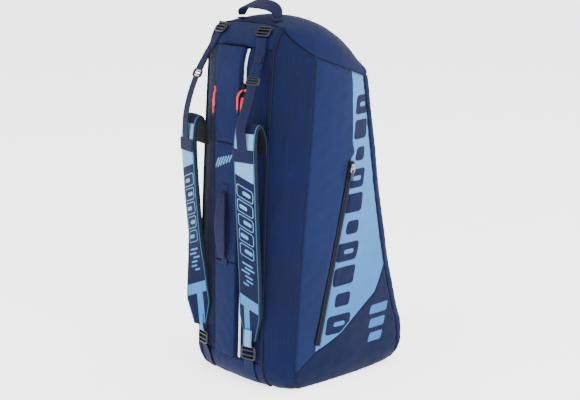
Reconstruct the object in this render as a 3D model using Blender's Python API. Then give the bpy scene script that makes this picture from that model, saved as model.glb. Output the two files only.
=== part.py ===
"""Racket tournament bag, standing on its wide end.

Metres, +Z up. The spine with the shoulder straps faces -Y, the side pockets face +X and -X.
The shell is a set of sewn panels cut from one wall surface: each panel is a patch of that surface
with its own thickness. Everything off the centre line is built once for the right half (+X) and
mirrored for the left half.
"""

import math

import bmesh
import bpy
import numpy as np
from mathutils import Matrix, Vector

# ---- driving dimensions -------------------------------------------------------------------------
SHIFT_Y = 0.16465         # from the design frame (spine near y = 0) to the middle of the object
FRONT_TOP = 0.742         # height of the yoke's top edge on the centre line
PIPING_X = 0.100          # half width of the spine face, between its two pipings
HALF_WIDTH = 0.155        # half width of the bag at the side seam
PANEL = 0.004             # cloth, foam and lining together
SEAM = 0.0005             # a panel stops this far short of its seam line
PIPING_ROOM = 0.0030      # and this far short of the piping
ZIP_LOW, ZIP_HIGH = 0.056, 0.700
SEAM_MID_LOW, SEAM_MID_HIGH = 0.257, 0.503
SLIDER_Z = 0.606          # where the two sliders of a main zip meet
SLIDER_PITCH = 0.0150
STRAP_YAW = math.radians(10.0)   # the strap lies along the slope of the spine face
STRAP_WIDTH = 0.056
WEBBING_WIDTH = 0.025
WEBBING = 0.0016

NAVY = (0.030, 0.060, 0.160, 1.0)
DEEP_NAVY = (0.012, 0.030, 0.085, 1.0)
TWILL = (0.040, 0.075, 0.190, 1.0)
WEB_PURPLE = (0.045, 0.050, 0.130, 1.0)
WHITE = (0.620, 0.680, 0.780, 1.0)
RED = (0.550, 0.040, 0.030, 1.0)
BLACK = (0.010, 0.011, 0.014, 1.0)
STEEL = (0.550, 0.560, 0.580, 1.0)
GREY = (0.120, 0.130, 0.150, 1.0)

for old in list(bpy.data.objects):
    bpy.data.objects.remove(old, do_unlink=True)


# ---- objects and materials ----------------------------------------------------------------------
def material(name, colour, roughness, metallic=0.0):
    """One Principled material for one sub-part."""
    made = bpy.data.materials.new(name)
    made.use_nodes = True
    shader = made.node_tree.nodes["Principled BSDF"]
    shader.inputs["Base Color"].default_value = colour
    shader.inputs["Roughness"].default_value = roughness
    shader.inputs["Metallic"].default_value = metallic
    return made


def add_object(name, points, faces, colour, roughness=0.8, metallic=0.0, origin=None):
    """One closed piece from points in the design frame; origin is the point it turns about."""
    points = np.asarray(points, float) - (0.0, SHIFT_Y, 0.0)
    origin = np.zeros(3) if origin is None else np.asarray(origin, float) - (0.0, SHIFT_Y, 0.0)
    mesh = bpy.data.meshes.new(name)
    mesh.from_pydata((points - origin).tolist(), [], faces)
    shape = bmesh.new()
    shape.from_mesh(mesh)
    bmesh.ops.recalc_face_normals(shape, faces=shape.faces)
    shape.to_mesh(mesh)
    shape.free()
    mesh.shade_smooth()
    mesh.set_sharp_from_angle(angle=math.radians(35))
    mesh.materials.append(material(name, colour, roughness, metallic))
    made = bpy.data.objects.new(name, mesh)
    made.location = Vector(origin)
    bpy.context.scene.collection.objects.link(made)
    return made


def mirrored(points, side):
    """The same points on the right (side 1) or the left (side -1)."""
    return np.asarray(points, float) * (side, 1.0, 1.0)


SIDES = (("right", 1), ("left", -1))


def shell_faces(columns, rows):
    """Faces of a closed slab between two grids of columns x rows points, outer grid first."""
    count = columns * rows
    faces = []
    for i in range(columns - 1):
        for j in range(rows - 1):
            a, b = i * rows + j, (i + 1) * rows + j
            faces.append((a, b, b + 1, a + 1))
            faces.append((a + count, a + 1 + count, b + 1 + count, b + count))
    rim = [i * rows for i in range(columns)]
    rim += [(columns - 1) * rows + j for j in range(1, rows)]
    rim += [i * rows + rows - 1 for i in range(columns - 2, -1, -1)]
    rim += [j for j in range(rows - 2, 0, -1)]
    for a, b in zip(rim, rim[1:] + rim[:1]):
        faces.append((a, a + count, b + count, b))
    return faces


def slab(name, outer, inner, colour, **finish):
    """A closed slab between an outer and an inner grid of the same size."""
    columns, rows = outer.shape[:2]
    points = np.concatenate([outer.reshape(-1, 3), inner.reshape(-1, 3)])
    return add_object(name, points, shell_faces(columns, rows), colour, **finish)


def rings(name, loops, colour, **finish):
    """A closed body through a list of rings with the same number of points, capped at both ends."""
    loops = np.asarray(loops, float)
    count, sides = loops.shape[:2]
    faces = []
    for i in range(count - 1):
        for j in range(sides):
            k = (j + 1) % sides
            faces.append((i * sides + j, i * sides + k, (i + 1) * sides + k, (i + 1) * sides + j))
    faces.append(tuple(range(sides)))
    faces.append(tuple((count - 1) * sides + j for j in range(sides)))
    return add_object(name, loops.reshape(-1, 3), faces, colour, **finish)


def smooth_path(points, steps):
    """A Catmull-Rom curve through a few points, sampled at steps places of equal length."""
    points = np.asarray(points, float)
    padded = np.vstack([2 * points[0] - points[1], points, 2 * points[-1] - points[-2]])
    fine = []
    for k in range(len(points) - 1):
        p0, p1, p2, p3 = padded[k:k + 4]
        t = np.linspace(0, 1, 24, endpoint=False)[:, None]
        fine.append(0.5 * (2 * p1 + (p2 - p0) * t + (2 * p0 - 5 * p1 + 4 * p2 - p3) * t**2
                           + (3 * p1 - p0 - 3 * p2 + p3) * t**3))
    fine = np.vstack(fine + [points[-1:]])
    length = np.concatenate([[0], np.cumsum(np.linalg.norm(np.diff(fine, axis=0), axis=1))])
    wanted = np.linspace(0, length[-1], steps)
    return np.stack([np.interp(wanted, length, fine[:, k]) for k in range(3)], axis=1)


def strap_loops(path, across, width, thickness, corner=0.3):
    """Rings of a flat strap: width lies along across, thickness square to the path."""
    path = np.asarray(path, float)
    across = np.asarray(across, float) / np.linalg.norm(across)
    width = np.broadcast_to(width, len(path))
    thickness = np.broadcast_to(thickness, len(path))
    along = np.gradient(path, axis=0)
    along /= np.linalg.norm(along, axis=1)[:, None]
    through = np.cross(along, across)
    through /= np.linalg.norm(through, axis=1)[:, None]
    loops = []
    for p, n, w, t in zip(path, through, width / 2, thickness / 2):
        c = corner * min(w, t) * 2
        outline = [(-w, -t + c), (-w + c, -t), (w - c, -t), (w, -t + c),
                   (w, t - c), (w - c, t), (-w + c, t), (-w, t - c)]
        loops.append([p + across * x + n * y for x, y in outline])
    return np.array(loops)


def union_of_boxes(name, boxes, place, colour, **finish):
    """One body from overlapping boxes (centre, size) in a local frame, put in place by a matrix."""
    made = []
    for centre, size in boxes:
        shape = bmesh.new()
        bmesh.ops.create_cube(shape, size=1.0)
        bmesh.ops.scale(shape, vec=size, verts=shape.verts)
        bmesh.ops.translate(shape, vec=centre, verts=shape.verts)
        mesh = bpy.data.meshes.new(name + "_box")
        shape.to_mesh(mesh)
        shape.free()
        made.append(bpy.data.objects.new(name + "_box", mesh))
        bpy.context.scene.collection.objects.link(made[-1])
    base = made[0]
    for other in made[1:]:
        cut = base.modifiers.new("union", "BOOLEAN")
        cut.operation = "UNION"
        cut.solver = "EXACT"
        cut.object = other
    graph = bpy.context.evaluated_depsgraph_get()
    whole = base.evaluated_get(graph).to_mesh()
    points = np.array([place @ v.co for v in whole.vertices])
    faces = [tuple(f.vertices) for f in whole.polygons]
    for box in made:
        bpy.data.objects.remove(box, do_unlink=True)
    return add_object(name, points, faces, colour, **finish)


def local_frame(origin, across, up):
    """Matrix of a local frame: X along across, Z as near to up as it can be, -Y facing out."""
    x = Vector(across).normalized()
    y = Vector(up).cross(x).normalized()
    z = x.cross(y)
    return Matrix.Translation(Vector(origin)) @ Matrix((x, y, z)).transposed().to_4x4()


# ---- the wall surface ---------------------------------------------------------------------------
def zip_x(z):
    """The two main zips stand a little closer together at the foot of the bag."""
    return 0.0365 + 0.0133 * (z - 0.05)


def spine_y(z):
    """Depth of the spine face: it leans back, straight, then rolls over into the yoke."""
    lean = -0.006 + 0.0262 * (z - 0.05)
    roll = 0.072 * (1 - np.sqrt(np.clip(1 - (np.clip(z - 0.648, 0, 1) / 0.0955) ** 2, 0, 1)))
    return lean + roll


def piping_y(z):
    """Depth of the spine face's outer edge."""
    rise = z - 0.12
    roll = 0.040 * (1 - np.sqrt(np.clip(1 - (np.clip(z - 0.670, 0, 1) / 0.0725) ** 2, 0, 1)))
    return 0.004 + 0.030 * rise + 0.045 * rise**2 + roll


def front_y(x, z):
    """The spine face between the zip and the piping falls away with a soft curve."""
    share = np.clip((x - zip_x(z)) / (PIPING_X - zip_x(z)), 0, 1)
    return spine_y(z) + (piping_y(z) - spine_y(z)) * share**1.3


def back_y(z):
    """Depth of the back panel: the bag tapers towards its top."""
    taper = 0.3665 - 0.1596 * (z - 0.094)
    hollow = -0.016 * np.sin(np.pi * np.clip((z - 0.094) / 0.542, 0, 1) ** 0.75)
    return np.minimum(taper, 0.369) + hollow


def seam_y(z):
    """Depth of the seam between gusset and side panel."""
    rise = np.maximum(z - 0.06, 0)
    return 0.046 + 0.075 * rise + 0.043 * rise**2


def half_width(z):
    """Half width at the side seam, drawn in near the top."""
    return HALF_WIDTH - 0.010 * np.clip((z - 0.45) / 0.23, 0, 1) ** 2


def corner_x(z):
    """Half width where the side turns into the back."""
    return 0.150 - 0.020 * (z / 0.632) ** 2


CORNER = 0.025                        # radius of the back corners
GUSSET_CELLS, SIDE_CELLS, CORNER_CELLS, BACK_CELLS = 3, 5, 3, 3
FRONT_SHARES = (0.0, 0.45, 1.0)       # spine columns, as shares of the way to the zip
FLAP_SHARES = (0.33, 0.66, 1.0)       # flap columns, as shares of the way from zip to piping
# heights of the rows on the centre line, with every cross seam of the spine among them
ROWS = np.array([0.0, 0.0035, 0.012, 0.026, 0.041, ZIP_LOW, 0.110, 0.180, SEAM_MID_LOW, 0.340, 0.420,
                 SEAM_MID_HIGH, 0.565, 0.630, 0.665, ZIP_HIGH, 0.722, 0.736, FRONT_TOP])
ROW = {round(float(z), 4): j for j, z in enumerate(ROWS)}
HIP = 0.710 / FRONT_TOP               # the cap seam drops over the hip beside the yoke
SHOULDER = 0.681 / FRONT_TOP
SIDE_BACK_TOP = 0.632 / FRONT_TOP


def wall_columns():
    """The right half of the wall as a list of columns, each with its top share and foot rounding.

    A column is (kind, share, top, foot): top is its height over the centre line's, foot is the
    (x, y) that the rounding draws it in by under the bag, and the height where that starts.
    """
    columns = [("spine", s, 1.0, (0.0, 0.042, 0.056)) for s in FRONT_SHARES]
    columns += [("flap", s, 1.0 - 0.007 * s, (0.0, 0.042, 0.056)) for s in FLAP_SHARES]
    for k in range(1, GUSSET_CELLS + 1):
        s = k / GUSSET_CELLS
        top = np.interp(s, (0, 0.5, 1), (0.993, HIP, SHOULDER))
        columns.append(("gusset", s, top, (-0.012 * s, 0.042 - 0.024 * s, 0.056 - 0.010 * s)))
    for k in range(1, SIDE_CELLS + 1):
        s = k / SIDE_CELLS
        top = SHOULDER + (SIDE_BACK_TOP - SHOULDER) * s
        columns.append(("side", s, top, (-0.012 - 0.013 * s**2, 0.018 * (1 - s) - 0.035 * s**3, 0.046)))
    for k in range(1, CORNER_CELLS + 1):
        s = k / CORNER_CELLS
        foot = (-0.025 - 0.009 * s, -0.035 - 0.027 * s, 0.046 + 0.014 * s)
        columns.append(("corner", s, SIDE_BACK_TOP, foot))
    for k in range(1, BACK_CELLS + 1):
        s = k / BACK_CELLS
        columns.append(("back", s, SIDE_BACK_TOP + 0.012 * s, (-0.034 * (1 - s), -0.062, 0.060)))
    return columns


def wall_point(kind, share, z):
    """Plan position (x, y) of the wall at height z, before the foot is rounded."""
    if kind == "spine":
        x = zip_x(z) * share
        return x, spine_y(z) + 0 * x
    if kind == "flap":
        x = zip_x(z) + (PIPING_X - zip_x(z)) * share
        return x, front_y(x, z)
    if kind == "gusset":
        billow = 0.004 * math.sin(math.pi * share)
        x = PIPING_X + (half_width(z) - PIPING_X) * share + 0.6 * billow
        return x, piping_y(z) + (seam_y(z) - piping_y(z)) * share - 0.8 * billow
    if kind == "side":
        end = back_y(z) - CORNER
        billow = 0.004 * math.sin(math.pi * share)
        x = half_width(z) + (corner_x(z) - half_width(z)) * share**2 + billow
        return x, seam_y(z) + (end - seam_y(z)) * share
    if kind == "corner":
        turn = share * math.pi / 2
        x = corner_x(z) - CORNER * (1 - math.cos(turn))
        return x, back_y(z) - CORNER * (1 - math.sin(turn))
    x = (corner_x(z) - CORNER) * (1 - share)
    return x, back_y(z) + 0.004 * math.sin(share * math.pi / 2)


def foot_share(z, height):
    """How much of its foot's inset a wall has at height z: a quarter ellipse, 1 on the ground."""
    return 1 - np.sqrt(np.clip(1 - np.clip(1 - z / height, 0, 1) ** 2, 0, 1))


def wall_grid():
    """Outer surface of the right half: points and outward normals, columns x rows x 3."""
    plan = []
    for kind, share, top, (inset_x, inset_y, height) in wall_columns():
        z = ROWS * top
        x, y = wall_point(kind, share, z)
        drawn = foot_share(z, height)
        plan.append(np.stack([x + inset_x * drawn, y + inset_y * drawn, z], axis=1))
    plan = np.array(plan)
    run = np.gradient(plan, axis=0)
    rise = np.gradient(plan, axis=1)
    normals = np.cross(run, rise)
    normals[0, :, 0] = normals[-1, :, 0] = 0.0
    normals[:, 0] = (0.0, 0.0, -1.0)
    normals /= np.linalg.norm(normals, axis=2)[:, :, None]
    return plan, normals


WALL, OUTWARD = wall_grid()
COLUMN = {"centre": 0, "zip": 2, "piping": 5, "seam": 5 + GUSSET_CELLS,
          "corner": 5 + GUSSET_CELLS + SIDE_CELLS,
          "back": 5 + GUSSET_CELLS + SIDE_CELLS + CORNER_CELLS, "end": len(WALL) - 1}


def shrink(grid, edges):
    """Draw the grid's four edges in along the surface: (first column, last, first row, last)."""
    grid = grid.copy()
    first, last, low, high = edges
    for edge, beside, gap in ((0, 1, first), (-1, -2, last)):
        step = grid[beside] - grid[edge]
        grid[edge] += step * (gap / np.linalg.norm(step, axis=1))[:, None]
    for edge, beside, gap in ((0, 1, low), (-1, -2, high)):
        step = grid[:, beside] - grid[:, edge]
        grid[:, edge] += step * (gap / np.linalg.norm(step, axis=1))[:, None]
    return grid


def wall_patch(columns, rows, depth=0.0, edges=(SEAM,) * 4, both=False):
    """A patch of the wall, sunk by depth below the outer surface (a number or one per column)."""
    first, last = columns
    part = slice(first, last + 1), slice(rows[0], rows[1] + 1)
    depth = np.broadcast_to(depth, last - first + 1)
    grid = WALL[part] - OUTWARD[part] * depth[:, None, None]
    if both:
        flipped = grid[::-1] * (-1, 1, 1)
        if first == 0:
            grid = np.concatenate([flipped, grid[1:]])
        else:
            grid = np.concatenate([grid, flipped[1:]])
    return shrink(grid, edges)


def wall_panel(name, side, columns, rows, colour, edges=(SEAM,) * 4, sink=0.0, thick=PANEL,
               both=False, **finish):
    """A sewn panel: a patch of the wall with its thickness."""
    outer = wall_patch(columns, rows, sink, edges, both)
    inner = wall_patch(columns, rows, np.asarray(sink) + thick, edges, both)
    return slab(name, mirrored(outer, side), mirrored(inner, side), colour, **finish)


# ---- shell panels -------------------------------------------------------------------------------
def spine_row(z):
    return ROW[round(float(z), 4)]


def make_shell():
    """Heel, yoke, flaps, gussets, side panels and back."""
    low, high, top = spine_row(ZIP_LOW), spine_row(ZIP_HIGH), len(ROWS) - 1
    under_cap = (0, top - 1)          # the cap's own thickness lies over these edges
    both_pipings = (PIPING_ROOM, PIPING_ROOM, SEAM, SEAM)
    wall_panel("spine_heel", 1, (0, COLUMN["piping"]), (0, low), NAVY, both_pipings, both=True)
    wall_panel("spine_yoke", 1, (0, COLUMN["piping"]), (high, top), NAVY, both_pipings, both=True)
    wall_panel("back_panel", 1, (COLUMN["corner"], COLUMN["end"]), (0, top), NAVY, both=True)
    for name, side in SIDES:
        flap_edges = (0.0065, PIPING_ROOM, SEAM, SEAM)
        wall_panel(name + "_mouth_flap", side, (COLUMN["zip"], COLUMN["piping"]), (low, high), NAVY,
                   flap_edges)
        wall_panel(name + "_gusset", side, (COLUMN["piping"], COLUMN["seam"]), under_cap, DEEP_NAVY,
                   (PIPING_ROOM, SEAM, SEAM, SEAM))
        wall_panel(name + "_side_panel", side, (COLUMN["seam"], COLUMN["corner"]), under_cap, TWILL)


def make_spine_panels():
    """The raised, padded middle of the spine, sewn across in three lengths."""
    raised, edge_room = 0.009, 0.0062
    across = np.linspace(-1, 1, 9)
    for name, low, high in (("spine_lower_panel", ZIP_LOW, SEAM_MID_LOW),
                            ("spine_middle_panel", SEAM_MID_LOW, SEAM_MID_HIGH),
                            ("spine_upper_panel", SEAM_MID_HIGH, ZIP_HIGH)):
        z = np.linspace(low + SEAM, high - (SEAM if high < ZIP_HIGH else 0.0035), 9)
        x = across[:, None] * (zip_x(z) - edge_room)[None, :]
        crown = 1 - 0.8 * np.abs(across[:, None]) ** 6
        crown = crown * (1 - 0.45 * np.abs(np.linspace(-1, 1, 9))[None, :] ** 10)
        base = spine_y(z)[None, :] + 0 * x
        outer = np.stack([x, base - raised * crown, z[None, :] + 0 * x], axis=2)
        inner = np.stack([x, base + PANEL, z[None, :] + 0 * x], axis=2)
        slab(name, outer, inner, NAVY)


def make_cap():
    """The domed top: a grid from the yoke's edge to the back, over the cap seam."""
    top = len(ROWS) - 1
    seam = WALL[COLUMN["piping"]:COLUMN["back"] + 1, top]
    count = len(seam)
    crown_s = np.array([0.0, 0.10, 0.22, 0.40, 0.55, 0.72, 0.86, 1.0])
    crown_y = np.array([0.073, 0.098, 0.127, 0.172, 0.212, 0.252, 0.278, 0.286])
    crown_z = np.array([0.742, 0.750, 0.755, 0.750, 0.736, 0.709, 0.674, 0.641])
    s = np.linspace(0, 1, count)
    t = np.linspace(-1, 1, 13)
    turn = np.sin(t * math.pi / 2)
    arch = np.cos(t * math.pi / 2) ** 0.85
    middle = np.stack([0 * s, np.interp(s, crown_s, crown_y), np.interp(s, crown_s, crown_z)], axis=1)
    grid = np.empty((len(t), count, 3))
    grid[:, :, 0] = turn[:, None] * seam[None, :, 0]
    grid[:, :, 1] = middle[None, :, 1] + (seam[:, 1] - middle[:, 1])[None, :] * turn[:, None] ** 2
    grid[:, :, 2] = seam[None, :, 2] + (middle[:, 2] - seam[:, 2])[None, :] * arch[:, None]
    run, rise = np.gradient(grid, axis=0), np.gradient(grid, axis=1)
    normals = np.cross(run, rise)
    normals /= np.linalg.norm(normals, axis=2)[:, :, None]
    edges = (0.0014, 0.0014, 0.0058, 0.0014)
    slab("top_cap", shrink(grid, edges), shrink(grid - normals * PANEL, edges), NAVY)


def make_base():
    """The flat base panel and the stiff board that lies on it."""
    foot = WALL[:, 0, :2]
    for name, colour, low, thick, gap, finish in (
            ("base_panel", DEEP_NAVY, 0.0, PANEL, 0.0012, {}),
            ("base_board", BLACK, PANEL + 0.0004, 0.0025, 0.0040, {"roughness": 0.5})):
        centre = np.array([0.0, foot[:, 1].mean()])
        ring = np.concatenate([foot, (foot[1:-1] * (-1, 1))[::-1]])
        away = ring - centre
        ring = centre + away * (1 - gap / np.linalg.norm(away, axis=1))[:, None]
        loops = [np.column_stack([ring, np.full(len(ring), z)]) for z in (low, low + thick)]
        rings(name, loops, colour, **finish)


def make_inside():
    """Divider between the two compartments, their foil linings and the linings of the pockets."""
    low, high = 3, spine_row(0.630)
    front = WALL[0, low:high + 1] + (0.0, 0.012, 0.0)
    back = WALL[-1, low:high + 1] - (0.0, 0.008, 0.0)
    grid = np.stack([front, back])
    half = np.array((0.0015, 0.0, 0.0))
    slab("centre_divider", grid + half, grid - half, GREY)
    first, last = COLUMN["piping"], COLUMN["corner"]
    cells = np.arange(first, last + 1)
    bay = np.clip(cells - COLUMN["seam"], 0, 1) * np.clip(last - cells, 0, 1)
    sunk = 0.0055 + 0.0165 * bay
    rows = (4, spine_row(0.630))
    pocket = (COLUMN["seam"] + 1, COLUMN["corner"] - 1)
    for name, side in SIDES:
        wall_panel(name + "_foil_lining", side, (first, last), rows, STEEL,
                   (0.006, 0.006, SEAM, SEAM), sink=sunk, thick=0.0012, roughness=0.3)
        wall_panel(name + "_pocket_lining", side, pocket, (spine_row(0.110), spine_row(SEAM_MID_HIGH)),
                   BLACK, sink=0.0170, thick=0.0010)


def make_pipings():
    """A round cord in each crease of the spine face, from the base to the hip of the cap seam."""
    radius = 0.0021
    for name, side in SIDES:
        line = WALL[COLUMN["piping"], 1:-1]
        out = OUTWARD[COLUMN["piping"], 1:-1]
        path = line + out * 0.0004
        along = np.gradient(path, axis=0)
        along /= np.linalg.norm(along, axis=1)[:, None]
        aside = np.cross(along, out)
        aside /= np.linalg.norm(aside, axis=1)[:, None]
        turn = np.arange(8) * math.pi / 4
        loops = (path[:, None] + radius * (np.cos(turn)[None, :, None] * out[:, None]
                                           + np.sin(turn)[None, :, None] * aside[:, None]))
        rings(name + "_piping", mirrored(loops, side), DEEP_NAVY, roughness=0.6)


# ---- main zips ----------------------------------------------------------------------------------
def zip_strip(left, right, front, back):
    """A strip along the main zip: its sides and depth are measured from the zip's centre line."""
    z = np.concatenate([np.linspace(ZIP_LOW + 0.001, 0.655, 6), np.linspace(0.667, ZIP_HIGH - 0.001, 4)])
    x, y = zip_x(z), spine_y(z)
    outer = np.stack([np.stack([x + side, y + front, z], axis=1) for side in (left, right)])
    inner = np.stack([np.stack([x + side, y + back, z], axis=1) for side in (left, right)])
    return outer, inner


ZIP_LINE = np.array([0.0133, 0.0262, 1.0])
SLIDER_FRONT = -0.0040                # front of the slider's plate, from the zip's line


def make_main_zips():
    """Tape, coil, and two sliders head to head with a pull each, on both main zips."""
    for name, side in SIDES:
        outer, inner = zip_strip(-0.0058, 0.0061, 0.0013, 0.0021)
        slab(name + "_zip_tape", mirrored(outer, side), mirrored(inner, side), WHITE)
        outer, inner = zip_strip(-0.0025, 0.0025, -0.0012, 0.0009)
        slab(name + "_zip_coil", mirrored(outer, side), mirrored(inner, side), WHITE, roughness=0.5)
        for which, turn, z, stand_off, aside in (
                ("lower", -1, SLIDER_Z, 0.0090, 0.0004),
                ("upper", 1, SLIDER_Z + SLIDER_PITCH, 0.0125, -0.0066)):
            make_slider(f"{name}_{which}_slider", side, z, turn)
            make_pull(f"{name}_{which}_pull", side, z, stand_off, aside)


def slider_frame(side, z):
    """Local frame on the zip's line, at height z."""
    place = local_frame((zip_x(z), spine_y(z), z), (1, 0, 0), ZIP_LINE)
    return Matrix.Diagonal((side, 1, 1, 1)) @ place


def make_slider(name, side, z, turn):
    """A coil zip slider: plate over the coil, two flanges beside it and the bridge on top."""
    front, plate = SLIDER_FRONT, 0.0022
    mid = front + plate / 2
    boxes = [((0, mid, 0), (0.0090, plate, 0.0110)),
             ((0.0038, front + 0.0024, 0), (0.0012, 0.0047, 0.0106)),
             ((-0.0038, front + 0.0024, 0), (0.0012, 0.0047, 0.0106)),
             ((0, front - 0.0006, 0.0030), (0.0022, 0.0040, 0.0014)),
             ((0, front - 0.0006, -0.0030), (0.0022, 0.0040, 0.0014)),
             ((0, front - 0.0023, 0), (0.0020, 0.0010, 0.0072))]
    boxes.append(((0, mid, turn * 0.0060), (0.0060, plate * 0.9, 0.0020)))
    union_of_boxes(name, boxes, slider_frame(side, z), STEEL, roughness=0.3, metallic=0.9,
                   origin=(side * zip_x(z), spine_y(z), z))


def make_pull(name, side, z, stand_off, aside):
    """A moulded pull: a cross bar under the slider's bridge, two arms, a knee and a long tongue.

    The tongues of the two pulls hang beside each other, so that each can be lifted on its own.
    """
    depth = SLIDER_FRONT - 0.00085
    knee = (depth - stand_off) / 2
    boxes = [((0, depth, 0), (0.0062, 0.0011, 0.0011)),
             ((0.0027, depth, -0.0032), (0.0010, 0.0012, 0.0072)),
             ((-0.0027, depth, -0.0032), (0.0010, 0.0012, 0.0072)),
             ((aside / 2, knee, -0.0075), (0.0060 + abs(aside), stand_off + depth + 0.0016, 0.0018)),
             ((aside, -stand_off, -0.0180), (0.0056, 0.0017, 0.0228)),
             ((aside, -stand_off, -0.0370), (0.0046, 0.0015, 0.0220))]
    place = slider_frame(side, z)
    pivot = place @ Vector((0, depth, 0))
    union_of_boxes(name, boxes, place, RED, roughness=0.45, origin=pivot)


# ---- side pockets -------------------------------------------------------------------------------
POCKET_TOP = (0.201, 0.462)           # y, z of the pocket zip's upper end
POCKET_FOOT = (0.103, 0.089)
POCKET_COIL = 0.0018


def side_surface(y, z):
    """Outer face of the side panel at depth y and height z."""
    share = np.clip((y - seam_y(z)) / (back_y(z) - CORNER - seam_y(z)), 0, 1)
    return half_width(z) + (corner_x(z) - half_width(z)) * share**2 + 0.004 * np.sin(np.pi * share)


def pocket_line(t):
    """The pocket's zip, from its foot (t = 0) to its top (t = 1): a straight line that just
    clears the swell of the side panel under it."""
    y = POCKET_FOOT[0] + (POCKET_TOP[0] - POCKET_FOOT[0]) * t
    z = POCKET_FOOT[1] + (POCKET_TOP[1] - POCKET_FOOT[1]) * t
    swell = np.maximum.reduce([side_surface(y + off, z) for off in (-0.005, 0.0, 0.005)])
    chord = swell[0] + (swell[-1] - swell[0]) * t
    return np.stack([chord + np.max(swell - chord) + 0.0008, y, z], axis=1)


def make_pockets():
    """Zip strip on each side panel, with its slider, the slider's ring and a pull tab."""
    line = pocket_line(np.linspace(0, 1, 9))
    slope = np.array([0.0, POCKET_TOP[1] - POCKET_FOOT[1], POCKET_FOOT[0] - POCKET_TOP[0]])
    aside = slope / np.linalg.norm(slope)
    chord = line[-1] - line[0]
    for name, side in SIDES:
        lift = np.array([POCKET_COIL, 0, 0])
        inner = np.stack([line - aside * 0.0045, line + aside * 0.0045])
        slab(name + "_pocket_zip", mirrored(inner + lift, side), mirrored(inner, side), BLACK)
        top = line[-1] + lift - chord / np.linalg.norm(chord) * 0.012
        place = Matrix.Diagonal((side, 1, 1, 1)) @ local_frame(top, aside, chord)
        outward = -1.0
        boxes = [((0, outward * 0.0020, 0), (0.0080, 0.0020, 0.0120)),
                 ((0, outward * 0.0034, 0.0030), (0.0022, 0.0038, 0.0014)),
                 ((0, outward * 0.0034, -0.0030), (0.0022, 0.0038, 0.0014)),
                 ((0, outward * 0.0051, 0), (0.0020, 0.0010, 0.0072))]
        union_of_boxes(name + "_pocket_slider", boxes, place, STEEL, roughness=0.3, metallic=0.9,
                       origin=mirrored(top, side))
        tab = [((0, outward * 0.0037, 0), (0.0064, 0.0009, 0.0009)),
               ((0.0028, outward * 0.0038, -0.0071), (0.0012, 0.0009, 0.0144)),
               ((-0.0028, outward * 0.0038, -0.0071), (0.0012, 0.0009, 0.0144)),
               ((0, outward * 0.0038, -0.0210), (0.0078, 0.0014, 0.0150))]
        pivot = place @ Vector((0, outward * 0.0037, 0))
        union_of_boxes(name + "_pocket_pull", tab, place, STEEL, roughness=0.3, metallic=0.9,
                       origin=pivot)


# ---- handles ------------------------------------------------------------------------------------
HANDLE_FOOT = (0.056, 0.086, 0.7535)
GRIP_LOW, GRIP_HIGH = 0.266, 0.402


def make_handles():
    """The carry handle over the yoke and the grip on the spine, with their sewn ends."""
    turn = np.linspace(0, math.pi, 17)
    x = -HANDLE_FOOT[0] * np.sign(np.cos(turn)) * np.abs(np.cos(turn)) ** 0.8
    z = HANDLE_FOOT[2] + 0.0255 * np.sin(turn) ** 0.8
    path = np.stack([x, np.full_like(x, HANDLE_FOOT[1]), z], axis=1)
    width = 0.014 + 0.024 * np.sin(turn) ** 0.6
    rings("top_handle", strap_loops(path, (0, 1, 0), width, 0.0034), WEB_PURPLE,
          origin=HANDLE_FOOT * np.array((0, 1, 1)))
    for name, side in SIDES:
        place = Matrix.Translation((side * HANDLE_FOOT[0], HANDLE_FOOT[1], HANDLE_FOOT[2] - 0.0043))
        union_of_boxes(name + "_handle_anchor", [((0, 0, 0), (0.010, 0.016, 0.0026))], place, WEB_PURPLE)

    share = np.linspace(0, 1, 13)
    z = GRIP_LOW + (GRIP_HIGH - GRIP_LOW) * share
    chord = spine_y(z) - 0.0135
    path = np.stack([0 * z, chord - 0.008 * np.sin(math.pi * share) ** 0.8, z], axis=1)
    width = 0.016 + 0.018 * np.sin(math.pi * share) ** 0.5
    rings("grip_handle", strap_loops(path, (1, 0, 0), width, 0.0034), WEB_PURPLE,
          origin=(0.0, float(chord.mean()), (GRIP_LOW + GRIP_HIGH) / 2))


# ---- shoulder straps ----------------------------------------------------------------------------
ACROSS = (math.cos(STRAP_YAW), math.sin(STRAP_YAW), 0.0)
STRAP_ROOT = (0.0880, 0.0030, 0.492)  # where the strap is sewn to the flap
# centre line of the padded strap: up from its root, over, and down to its tip
STRAP_LINE = (STRAP_ROOT, (0.0880, -0.0020, 0.527), (0.0885, -0.0125, 0.549), (0.0900, -0.0245, 0.541),
              (0.0910, -0.0290, 0.505), (0.0905, -0.0265, 0.430), (0.0880, -0.0205, 0.330),
              (0.0830, -0.0110, 0.210), (0.0790, -0.0075, 0.105))
BAND_Z = 0.492
LIFTER = ((0.0690, 0.0340, 0.7180), (0.0790, 0.0200, 0.6880), (0.0880, -0.0030, 0.6450),
          (0.0920, -0.0235, 0.5960), (0.0895, -0.0385, 0.5500), (0.0905, -0.0388, 0.5150))
GLIDE_AT = 0.43                       # share of the lifter's run where its tri-glide sits
LOW_BUCKLE = (0.0750, -0.0105, 0.078)
LOW_PIVOT = (0.0755, -0.0100, 0.0910)
HIGH_BUCKLE = (0.0670, 0.0410, 0.7300)


def make_straps():
    """Both shoulder straps with their bands, buckles and webbings."""
    path = smooth_path(STRAP_LINE, 34)
    share = np.linspace(0, 1, len(path))
    width = np.interp(share, (0, 0.05, 0.90, 1), (0.050, STRAP_WIDTH, STRAP_WIDTH, 0.030))
    thick = np.interp(share, (0, 0.10, 0.24, 0.85, 1), (0.0070, 0.0090, 0.0130, 0.0130, 0.0070))
    pad = strap_loops(path, ACROSS, width, thick)
    for name, side in SIDES:
        rings(name + "_strap_pad", mirrored(pad, side), TWILL, origin=mirrored(STRAP_ROOT, side))
        make_band(name, side)
        make_lifter(name, side)
        make_buckles(name, side)
        make_lower_webbing(name, side)


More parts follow.
